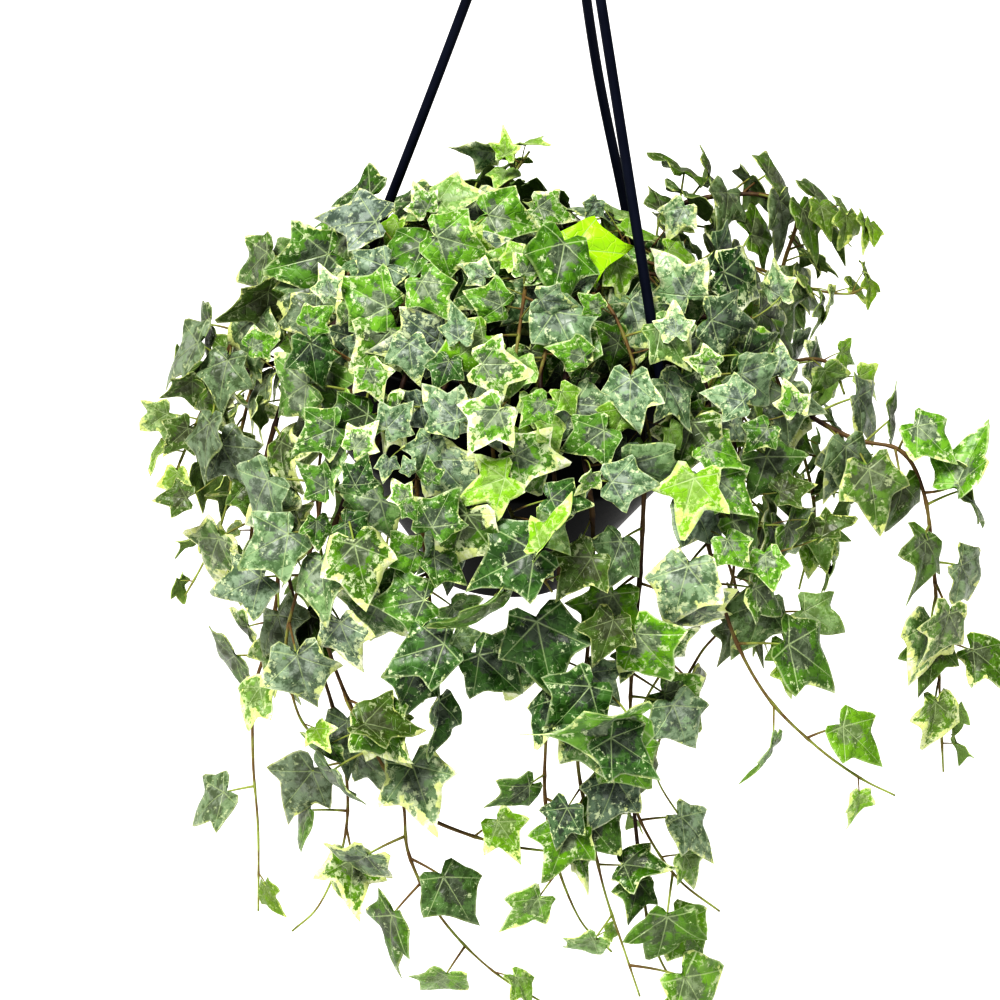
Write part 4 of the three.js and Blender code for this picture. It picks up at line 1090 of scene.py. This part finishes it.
def soft_block(middle, halves, azimuth, count=16):
    """A block with rounded edges: a superellipsoid of two angles, on a frame turned by the azimuth."""
    turn = 2 * math.pi * (np.arange(count) + 0.5) / count
    lift = math.pi * ((np.arange(count // 2) + 0.5) / (count // 2) - 0.5)
    level, ray = bent(np.cos(lift))[:, None], (bent(np.cos(turn)), bent(np.sin(turn)))
    local = np.stack([level * ray[0] * halves[0], level * ray[1] * halves[1],
                      np.repeat(bent(np.sin(lift))[:, None], count, axis=1) * halves[2]], axis=-1)
    local = local.reshape(-1, 3) + np.array(middle)
    local = np.vstack([local, np.array(middle) - UP * halves[2], np.array(middle) + UP * halves[2]])
    cos, sin = math.cos(math.radians(azimuth)), math.sin(math.radians(azimuth))
    corners = np.stack([local[:, 0] * cos - local[:, 1] * sin, local[:, 0] * sin + local[:, 1] * cos,
                        local[:, 2]], axis=-1)
    rows = count // 2
    j = np.arange(count)
    k = (j + 1) % count
    fans = np.vstack([np.stack([k, j, np.full(count, rows * count)], axis=-1),
                      np.stack([(rows - 1) * count + j, (rows - 1) * count + k,
                                np.full(count, rows * count + 1)], axis=-1)])
    return corners, [fans, grid_faces(rows, count)]


def arm_curve(azimuth, bow):
    """One arm's middle line, from its end in the hub to its barb under the lug."""
    (top_radius, top), (foot_radius, foot) = ARM_TOP, ARM_FOOT
    heights = np.array([top, *(top + np.array([0.25, 0.5, 0.75]) * (foot - top)), foot, ARM_BARB[2]])
    radius = top_radius + (foot_radius - top_radius) / (top - foot) * (top - heights)
    aside = np.array([0, *bow, 0, 0])
    turn = math.radians(azimuth)
    cos, sin = math.cos(turn), math.sin(turn)
    return Curve(np.stack([radius * cos - aside * sin, radius * sin + aside * cos, heights], axis=-1))


def strand(curve, half, sides=16, stations=60):
    """Corners and faces of a round bar along a curve."""
    path = curve.at(np.linspace(0, curve.length, stations))
    corners, faces, _ = carried(path[None], np.full((1, stations), half), sides)
    return corners, faces


def cutter(curve, half):
    """A round bar that cuts a hole along a curve."""
    corners, faces = strand(curve, half, stations=24)
    return mesh_object("cutter", to_hook(corners), faces)


def cut(piece, tools, operation="DIFFERENCE"):
    """Joins or cuts with other closed meshes, applied at once, and takes the tools away."""
    for tool in tools:
        step = piece.modifiers.new("cut", "BOOLEAN")
        step.operation, step.object, step.solver = operation, tool, "EXACT"
    bpy.context.view_layer.update()
    depsgraph = bpy.context.evaluated_depsgraph_get()
    mesh = bpy.data.meshes.new_from_object(piece.evaluated_get(depsgraph))
    piece.modifiers.clear()
    old, piece.data = piece.data, mesh
    bpy.data.meshes.remove(old)
    for tool in tools:
        bpy.data.objects.remove(tool, do_unlink=True)
    mesh.name = piece.name


def make_pot(material, curves):
    """Pot: one turned wall with a rolled rim, lugs with holes for the arms, and drain holes."""
    foot = RIM_DEPTH
    profile = rounded([
        [0, -POT_DEPTH + 0.8], [BASE_RADIUS - 8, -POT_DEPTH + 0.8], [BASE_RADIUS - 6, -POT_DEPTH],
        [BASE_RADIUS, -POT_DEPTH], [SHOULDER_RADIUS - 7, SHOULDER_Z - 15],
        [SHOULDER_RADIUS - 1.5, SHOULDER_Z - 8], [SHOULDER_RADIUS, SHOULDER_Z],
        [RIM_RADIUS - RIM_LIP, -foot - 1], [RIM_RADIUS, -foot], [RIM_RADIUS, 0],
        [RIM_RADIUS - RIM_LIP - WALL, 0], [SHOULDER_RADIUS - WALL, SHOULDER_Z - 2],
        [SHOULDER_RADIUS - 7 - WALL, SHOULDER_Z - 14], [BASE_RADIUS - 0.9, -POT_DEPTH + WALL],
        [0, -POT_DEPTH + WALL],
    ], 1.6)
    corners, faces = lathe(profile, 120)
    pot = mesh_object("pot_shell", to_hook(corners), faces)
    length = LUG[1] + RIM_LIP
    lugs = []
    for azimuth, _ in ARMS.values():
        middle = [RIM_RADIUS - RIM_LIP + length / 2, 0, -LUG[2] / 2]
        corners, faces = soft_block(middle, [length / 2, LUG[0] / 2, LUG[2] / 2], azimuth)
        lugs.append(mesh_object("lug", to_hook(corners), faces))
    cut(pot, lugs, "UNION")
    holes = [cutter(curve, ARM_WIDTH / 2 + 0.35) for curve in curves]
    for i in range(DRAIN_HOLES):
        turn = 2 * math.pi * i / DRAIN_HOLES
        x, y = DRAIN_CIRCLE * math.cos(turn), DRAIN_CIRCLE * math.sin(turn)
        line = Curve([[x, y, -POT_DEPTH + step] for step in (-2, 0, 2, 4)])
        holes.append(cutter(line, DRAIN_RADIUS))
    cut(pot, holes)
    pot.data.shade_smooth()
    pot.data.set_sharp_from_angle(angle=math.radians(40))
    finish_piece(pot, material, "plastic", "pot")


def make_soil(material):
    """Soil: fills the pot, with a lumpy top z = top + crumbs that fades to nothing at the wall."""
    rng = np.random.default_rng(SEED)
    shoulder = SHOULDER_RADIUS - WALL - SOIL_GAP
    edge = shoulder + (RIM_RADIUS - RIM_LIP - SHOULDER_RADIUS) * (1 - SOIL_TOP / SHOULDER_Z)
    bottom = -POT_DEPTH + WALL + SOIL_GAP
    inside = [[shoulder, SHOULDER_Z - 2], [shoulder - 7, SHOULDER_Z - 14], [BASE_RADIUS - 1.3, bottom]]
    radii = edge * np.linspace(0, 1, 42) ** 0.8
    profile = [[0, bottom], *inside[::-1], [edge, SOIL_TOP - 1.5],
               *[[radius, SOIL_TOP] for radius in radii[::-1]]]
    corners, faces = lathe(profile, 96)
    top = corners[:, 2] > SOIL_TOP - 0.5
    lumps = np.zeros(len(corners))
    for _ in range(SOIL_LUMPS):
        wave = rng.normal(0, 0.35, 2)
        lumps += np.cos(corners[:, :2] @ wave + rng.uniform(0, 6.28)) * 0.22
    fade = np.clip((edge - np.hypot(corners[:, 0], corners[:, 1])) / 4, 0, 1)
    corners[:, 2] += np.where(top, lumps * fade - 0.4, 0)
    soil = mesh_object("soil_bed", to_hook(corners), faces)
    finish_piece(soil, material, "soil", "soil")


def make_hanger(material, curves):
    """Hanger: three strands that clip under the lugs, and a hub with its hook."""
    for (name, (azimuth, _)), curve in zip(ARMS.items(), curves):
        width, height, z = ARM_BARB
        parts = [strand(curve, ARM_WIDTH / 2 - 0.05),
                 soft_block([ARM_FOOT[0] + 2, 0, z], [1.7, width / 2, height / 2], azimuth)]
        corners, faces, _ = joined([(*part, {}) for part in parts])
        piece = mesh_object("strand_" + name[4:], to_hook(corners), faces)
        piece.data.set_sharp_from_angle(angle=math.radians(50))
        finish_piece(piece, material, "plastic", name)
    centre = HANG_DROP + HOOK_WIRE - HOOK_RADIUS
    turn = np.radians(np.arange(205, -21, -12.5))
    arc = np.stack([HOOK_RADIUS * np.cos(turn), 0 * turn, centre + HOOK_RADIUS * np.sin(turn)], axis=-1)
    path = np.vstack([arc, [[4, 0, centre - 17], [0, 0, centre - 27], [0, 0, HUB_TOP - 4]]])
    wire = strand(Curve(path), HOOK_WIRE - 0.02, 20, 110)
    corners, faces = lathe(rounded([
        [0, HUB_BOTTOM], [HUB_RADIUS - 1.5, HUB_BOTTOM], [HUB_RADIUS, HUB_BOTTOM + 1.5],
        [HUB_RADIUS, HUB_TOP - 4], [HUB_RADIUS - 4, HUB_TOP], [0, HUB_TOP]], 1.4), 64)
    hub = mesh_object("hub_and_hook", to_hook(corners), faces)
    cut(hub, [mesh_object("wire", to_hook(wire[0]), wire[1])], "UNION")
    cut(hub, [cutter(curve, ARM_WIDTH / 2 + 0.3) for curve in curves])
    hub.data.shade_smooth()
    hub.data.set_sharp_from_angle(angle=math.radians(45))
    finish_piece(hub, material, "plastic", "hanger_hook")


def srgb(red, green, blue):
    """A colour given as the eye names it, 0 to 255, in the linear numbers that shaders take."""
    share = np.array([red, green, blue]) / 255
    linear = np.where(share <= 0.04045, share / 12.92, ((share + 0.055) / 1.055) ** 2.4)
    return (*linear, 1.0)


class Tree:
    """Short words for adding shader nodes to a material or a node group."""

    def __init__(self, tree):
        self.tree = tree

    def put(self, socket, value):
        if isinstance(value, bpy.types.NodeSocket):
            self.tree.links.new(value, socket)
        elif value is not None:
            socket.default_value = value

    def add(self, kind, inputs=(), **settings):
        node = self.tree.nodes.new("ShaderNode" + kind)
        for name, value in settings.items():
            setattr(node, name, value)
        for name, value in dict(inputs).items():
            self.put(node.inputs[name], value)
        return node

    def math(self, operation, *values, clamp=False):
        node = self.add("Math", operation=operation, use_clamp=clamp)
        for k, value in enumerate(values):
            self.put(node.inputs[k], value)
        return node.outputs[0]

    def plus(self, *values, clamp=False):
        return self.math("ADD", *values, clamp=clamp)

    def less(self, *values, clamp=False):
        return self.math("SUBTRACT", *values, clamp=clamp)

    def times(self, *values):
        return self.math("MULTIPLY", *values)

    def ramp(self, value, low, high):
        """0 below low, 1 above high, and an even s-curve between."""
        node = self.add("MapRange", {"Value": value, "From Min": low, "From Max": high},
                        interpolation_type="SMOOTHSTEP")
        return node.outputs[0]

    def mix(self, share, first, second):
        node = self.add("Mix", data_type="RGBA")
        self.put(node.inputs["Factor"], share)
        self.put(node.inputs[6], first)
        self.put(node.inputs[7], second)
        return node.outputs[2]

    def read(self, name):
        return self.add("Attribute", attribute_name=name).outputs["Fac"]

    def noise(self, place, scale, detail=3.0, roughness=0.55):
        return self.add("TexNoise", {"Vector": place, "Scale": scale, "Detail": detail,
                                     "Roughness": roughness}).outputs["Fac"]


def new_group(name, inputs, outputs):
    """A shared effect: only values and colours go in and out."""
    group = bpy.data.node_groups.new(name, "ShaderNodeTree")
    for title, kind, value in inputs:
        socket = group.interface.new_socket(title, in_out="INPUT", socket_type="NodeSocket" + kind)
        if value is not None:
            socket.default_value = value
    for title, kind in outputs:
        group.interface.new_socket(title, in_out="OUTPUT", socket_type="NodeSocket" + kind)
    tree = Tree(group)
    return group, tree, group.nodes.new("NodeGroupInput").outputs, group.nodes.new("NodeGroupOutput").inputs


def new_material(name):
    """A material, its tree and the sockets of its surface."""
    material = bpy.data.materials.new(name)
    material.use_nodes = True
    return material, Tree(material.node_tree), material.node_tree.nodes["Principled BSDF"].inputs


def blade_marks():
    """Where a blade's veins and patches are. A main vein runs along each ray from the stalk's end at angle
    a: its distance is |x sin a - |y| cos a|. Patches are clouds and flecks, other ones for every leaf."""
    group, t, given, out = new_group(
        "blade marks",
        [("Place", "Vector", None), ("Seed", "Float", 0.5), ("Rim", "Float", 0.0), ("Pale", "Float", 0.5)],
        [("Veins", "Float"), ("Net", "Float"), ("Margin", "Float"), ("Centre", "Float"), ("Cloud", "Float"),
         ("Patch", "Float"), ("Fleck", "Float")])
    parts = t.add("SeparateXYZ", {"Vector": given["Place"]}).outputs
    side = t.math("ABSOLUTE", parts[1])
    far = t.math("SQRT", t.plus(t.times(parts[0], parts[0]), t.times(side, side)))
    width = t.math("MULTIPLY_ADD", far, -0.015, 0.0165)
    veins = None
    for degrees in (0, 55, 116):
        a = math.radians(degrees)
        off = t.less(t.times(parts[0], math.sin(a)), t.times(side, math.cos(a)))
        ahead = t.plus(t.times(parts[0], math.cos(a)), t.times(side, math.sin(a)))
        line = t.less(1.0, t.math("DIVIDE", t.math("ABSOLUTE", off), width), clamp=True)
        line = t.times(line, t.ramp(ahead, -0.02, 0.01))
        veins = line if veins is None else t.math("MAXIMUM", veins, line)
    t.put(out["Veins"], veins)
    shift = t.add("CombineXYZ", {"Z": t.times(given["Seed"], 37.0)}).outputs[0]
    place = t.add("VectorMath", {0: given["Place"], 1: shift}, operation="ADD").outputs[0]
    net = t.add("TexVoronoi", {"Vector": place, "Scale": 8.0}, feature="DISTANCE_TO_EDGE")
    t.put(out["Net"], t.less(1.0, t.ramp(net.outputs["Distance"], 0.01, 0.07)))
    cloud = t.noise(place, 3.4, 5.0, 0.6)
    patch = t.noise(place, 7.0, 4.0, 0.65)
    fine = t.noise(place, 10.5, 6.0, 0.72)
    ragged = t.plus(t.times(t.less(cloud, 0.5), 1.1), t.times(t.less(patch, 0.5), 0.9))
    edge = t.plus(t.plus(given["Rim"], ragged), t.times(given["Pale"], 0.36))
    line = t.ramp(given["Rim"], 0.93, 0.985)
    line = t.times(line, t.math("MULTIPLY_ADD", given["Pale"], 0.5, 0.15))
    t.put(out["Margin"], t.math("MAXIMUM", t.ramp(edge, 1.16, 1.25), line))
    inner = t.plus(t.less(0.49, given["Rim"]), t.times(ragged, 1.2))
    t.put(out["Centre"], t.ramp(inner, -0.05, 0.07))
    t.put(out["Cloud"], cloud)
    t.put(out["Patch"], t.ramp(patch, 0.42, 0.58))
    wispy = t.ramp(t.math("MULTIPLY_ADD", given["Pale"], 0.08, fine), 0.585, 0.64)
    t.put(out["Fleck"], t.times(wispy, t.ramp(t.plus(given["Rim"], ragged), 0.32, 0.62)))
    return group


def uneven_finish():
    """Slow clouds and fine grain over a made or grown surface, as a value, a roughness and a height."""
    group, t, given, out = new_group(
        "uneven finish",
        [("Place", "Vector", None), ("Clouds", "Float", 40.0), ("Grain", "Float", 900.0),
         ("Least", "Float", 0.35), ("Most", "Float", 0.5)],
        [("Cloud", "Float"), ("Roughness", "Float"), ("Height", "Float")])
    cloud = t.noise(given["Place"], given["Clouds"], 4.0)
    grain = t.noise(given["Place"], given["Grain"], 2.0)
    t.put(out["Cloud"], t.ramp(cloud, 0.35, 0.65))
    both = t.math("MULTIPLY_ADD", grain, 0.4, t.times(cloud, 0.6))
    spread = t.add("MapRange", {"Value": both, "From Min": 0.35, "From Max": 0.65, "To Min": given["Least"],
                                "To Max": given["Most"]}).outputs[0]
    t.put(out["Roughness"], spread)
    t.put(out["Height"], t.math("MULTIPLY_ADD", cloud, 0.7, t.times(grain, 0.3)))
    return group


def group_in(t, group, inputs):
    """A shared effect used in a material, as its outputs."""
    node = t.add("Group", node_tree=group)
    for name, value in inputs.items():
        t.put(node.inputs[name], value)
    return node.outputs


def object_place(t):
    return t.add("TexCoord").outputs["Object"]


def bump(t, height, strength, distance):
    return t.add("Bump", {"Height": height, "Strength": strength, "Distance": distance}).outputs["Normal"]


def leaf_material(marks):
    """Leaf: slate centre, green band, cream margin, flecks, pale veins, and a paler underside. Its silver
    tone is partly painted sheen, and its olive tone partly painted shade and backlight.
    """
    material, t, surface = new_material("ivy_leaf")
    uv = t.add("UVMap", uv_map="blade").outputs[0]
    place = t.add("VectorMath", {0: uv, 1: (0.5, 0.5, 0.0)}, operation="SUBTRACT").outputs[0]
    place = t.add("VectorMath", {0: place, "Scale": UV_SPAN}, operation="SCALE").outputs[0]
    rim, pale, bright = t.read("rim"), t.read("pale"), t.read("bright")
    seed, olive, young, plain = t.read("seed"), t.read("olive"), t.read("young"), t.read("plain")
    marked = group_in(t, marks, {"Place": place, "Seed": seed, "Rim": rim, "Pale": pale})
    patch = marked["Patch"]
    green = t.mix(bright, srgb(34, 80, 2), srgb(106, 158, 8))
    green = t.mix(t.times(patch, 0.75), green, t.mix(bright, srgb(12, 36, 4), srgb(56, 104, 6)))
    slate = t.mix(bright, srgb(38, 54, 36), srgb(134, 148, 118))
    slate = t.mix(t.times(patch, 0.8), slate, t.mix(bright, srgb(17, 30, 18), srgb(68, 86, 60)))
    colour = t.mix(marked["Centre"], green, slate)
    # Silver tone: partly silvery variegation, partly painted sheen of the glossy face
    silver_and_sheen = t.mix(patch, srgb(160, 172, 164), srgb(84, 98, 92))
    colour = t.mix(t.times(t.read("grey"), 0.7), colour, silver_and_sheen)
    cream = t.mix(patch, srgb(232, 236, 208), srgb(206, 218, 148))
    colour = t.mix(t.times(marked["Fleck"], 0.8), colour, srgb(200, 212, 170))
    colour = t.mix(marked["Margin"], colour, cream)
    colour = t.mix(t.times(marked["Net"], 0.10), colour, srgb(150, 180, 130))
    fresh = t.mix(t.times(marked["Net"], 0.3), srgb(150, 200, 20), srgb(186, 216, 80))
    colour = t.mix(t.times(young, 0.5), colour, fresh)
    colour = t.mix(plain, colour, fresh)
    colour = t.mix(t.times(marked["Veins"], 0.65), colour, srgb(184, 204, 150))
    # Olive tone: partly the leaf's own colour, partly painted shade and backlight on the back and side
    # leaves
    colour = t.mix(t.times(olive, 0.6), colour, t.mix(marked["Margin"], srgb(72, 76, 26),
                                                                 srgb(164, 164, 78)))
    below = t.mix(t.times(marked["Veins"], 0.5), srgb(104, 132, 62), srgb(150, 172, 96))
    colour = t.mix(t.times(t.read("underside"), 0.7), colour, below)
    t.put(surface["Base Color"], colour)
    rough = t.math("MULTIPLY_ADD", marked["Cloud"], 0.2, 0.26)
    t.put(surface["Roughness"], t.math("MULTIPLY_ADD", t.read("underside"), 0.25, rough))
    surface["Coat Weight"].default_value = 0.0
    surface["Specular IOR Level"].default_value = 0.28
    height = t.math("MULTIPLY_ADD", marked["Veins"], -0.6, t.times(marked["Net"], -0.35))
    height = t.plus(height, t.times(marked["Cloud"], 0.6))
    t.put(surface["Normal"], bump(t, height, 0.6, 0.0008))
    return material


def stem_material(finish):
    """Stem: brown and woody at its foot, olive further on, green in the young stalks."""
    material, t, surface = new_material("ivy_stem")
    made = group_in(t, finish, {"Place": object_place(t), "Clouds": 90.0, "Grain": 1400.0, "Least": 0.5,
                                "Most": 0.72})
    woody = t.plus(t.read("woody"), t.math("MULTIPLY_ADD", made["Cloud"], 0.3, -0.15), clamp=True)
    young = t.mix(t.ramp(woody, 0.05, 0.45), srgb(138, 152, 74), srgb(104, 82, 48))
    t.put(surface["Base Color"], t.mix(t.ramp(woody, 0.4, 0.85), young, srgb(52, 34, 27)))
    t.put(surface["Roughness"], made["Roughness"])
    surface["Specular IOR Level"].default_value = 0.3
    t.put(surface["Normal"], bump(t, made["Height"], 0.5, 0.0004))
    return material


def plastic_material(finish, name, dark, worn, least, most):
    """Moulded plastic: dark, with slow clouds of wear and a fine grain."""
    material, t, surface = new_material(name)
    made = group_in(t, finish, {"Place": object_place(t), "Clouds": 30.0, "Grain": 1200.0, "Least": least,
                                "Most": most})
    t.put(surface["Base Color"], t.mix(t.times(made["Cloud"], 0.6), dark, worn))
    t.put(surface["Roughness"], made["Roughness"])
    surface["Specular IOR Level"].default_value = 0.06
    t.put(surface["Normal"], bump(t, made["Height"], 0.25, 0.0003))
    return material


def soil_material(finish):
    """Soil: brown crumbs of many tones, a few of them pale grit."""
    material, t, surface = new_material("soil")
    place = object_place(t)
    made = group_in(t, finish, {"Place": place, "Clouds": 120.0, "Grain": 900.0, "Least": 0.8, "Most": 0.98})
    crumbs = t.add("TexVoronoi", {"Vector": place, "Scale": 330.0}).outputs
    pick = t.add("SeparateColor", {"Color": crumbs["Color"]}).outputs[0]
    earth = t.mix(made["Cloud"], srgb(36, 26, 20), srgb(74, 54, 40))
    earth = t.mix(t.ramp(pick, 0.2, 0.9), earth, srgb(56, 40, 30))
    t.put(surface["Base Color"], t.mix(t.ramp(pick, 0.955, 0.965), earth, srgb(205, 200, 190)))
    t.put(surface["Roughness"], made["Roughness"])
    height = t.less(made["Height"], crumbs["Distance"])
    t.put(surface["Normal"], bump(t, height, 0.9, 0.0015))
    return material


# Studio: a wide pale floor far below, soft sky, one large soft light from the upper left front
FLOOR_Z = -1.0
FLOOR_HALF = 40.0
SKY_STRENGTH = 0.3
SUN_ENERGY = 4.0
SUN_WIDTH = 20
SUN_COLOUR = (1.0, 0.98, 0.96)
SUN_WAY = (0.35, 0.6, -0.85)


def make_stage(finish):
    """The wide pale floor, far below the plant."""
    floor = mesh_data_plane("studio_floor", FLOOR_HALF, FLOOR_Z)
    material, t, surface = new_material("studio_paper")
    made = group_in(t, finish, {"Place": object_place(t), "Clouds": 1.5, "Grain": 40.0, "Least": 0.8,
                                "Most": 0.95})
    t.put(surface["Base Color"], t.mix(made["Cloud"], (0.93, 0.93, 0.93, 1), (0.95, 0.95, 0.945, 1)))
    t.put(surface["Roughness"], made["Roughness"])
    floor.data.materials.append(material)


def mesh_data_plane(name, half, height):
    """A level square, given by half its side."""
    mesh = bpy.data.meshes.new(name)
    corners = [(x * half, y * half, height) for x, y in ((-1, -1), (1, -1), (1, 1), (-1, 1))]
    mesh.from_pydata(corners, [], [(0, 1, 2, 3)])
    plane = bpy.data.objects.new(name, mesh)
    bpy.context.scene.collection.objects.link(plane)
    return plane


def aim(thing, place, direction):
    """Puts a lamp in its place and turns it along a direction."""
    thing.location = place
    thing.rotation_euler = mathutils.Vector(direction).to_track_quat("-Z", "Y").to_euler()


def make_light():
    """Soft light from all around, and one wide light from the upper left front."""
    scene = bpy.context.scene
    world = bpy.data.worlds.new("studio_sky")
    world.use_nodes = True
    world.node_tree.nodes["Background"].inputs["Color"].default_value = (1.0, 1.0, 1.0, 1)
    world.node_tree.nodes["Background"].inputs["Strength"].default_value = SKY_STRENGTH
    scene.world = world
    sun = bpy.data.lights.new("window_sun", "SUN")
    sun.energy, sun.angle, sun.color = SUN_ENERGY, math.radians(SUN_WIDTH), SUN_COLOUR
    holder = bpy.data.objects.new("window_sun", sun)
    scene.collection.objects.link(holder)
    aim(holder, (0, 0, 2), SUN_WAY)
    scene.view_settings.view_transform = "Standard"
    scene.view_settings.look = "High Contrast"


def make_camera():
    """The photo's camera, in the hook's frame."""
    eye = Eye()
    data = bpy.data.cameras.new("camera")
    data.sensor_width, data.lens = SENSOR, eye.pixels / PICTURE * SENSOR
    camera = bpy.data.objects.new("camera", data)
    turn = mathutils.Matrix(np.stack([eye.x, eye.y, -eye.ahead], axis=1).tolist()).to_4x4()
    place = ((eye.place - UP * HANG_DROP) * MM).tolist()
    camera.matrix_world = mathutils.Matrix.Translation(place) @ turn
    bpy.context.scene.collection.objects.link(camera)
    bpy.context.scene.camera = camera


def main():
    """Makes every piece, then the stage, the light and the camera."""
    marks, finish = blade_marks(), uneven_finish()
    leaf, stem = leaf_material(marks), stem_material(finish)
    pot = plastic_material(finish, "pot_plastic", srgb(3, 5, 6), srgb(10, 13, 15), 0.36, 0.52)
    strands = plastic_material(finish, "strand_plastic", srgb(14, 17, 30), srgb(26, 31, 46), 0.34, 0.48)
    curves = [arm_curve(azimuth, bow) for azimuth, bow in ARMS.values()]
    make_pot(pot, curves)
    make_soil(soil_material(finish))
    make_hanger(strands, curves)
    room = Room({name: curve.at(np.linspace(0, curve.length, 160)) for name, curve in zip(ARMS, curves)})
    vines = read_vines()
    for vine in vines:
        for grown in vine["grown"]:
            room.take(grown)
    photo_leaves(vines, room)
    for vine in vines:
        fill_vine(vine, room)
    for vine in vines:
        vine_pieces(vine, leaf, stem)
    make_stage(finish)
    make_light()
    make_camera()


main()
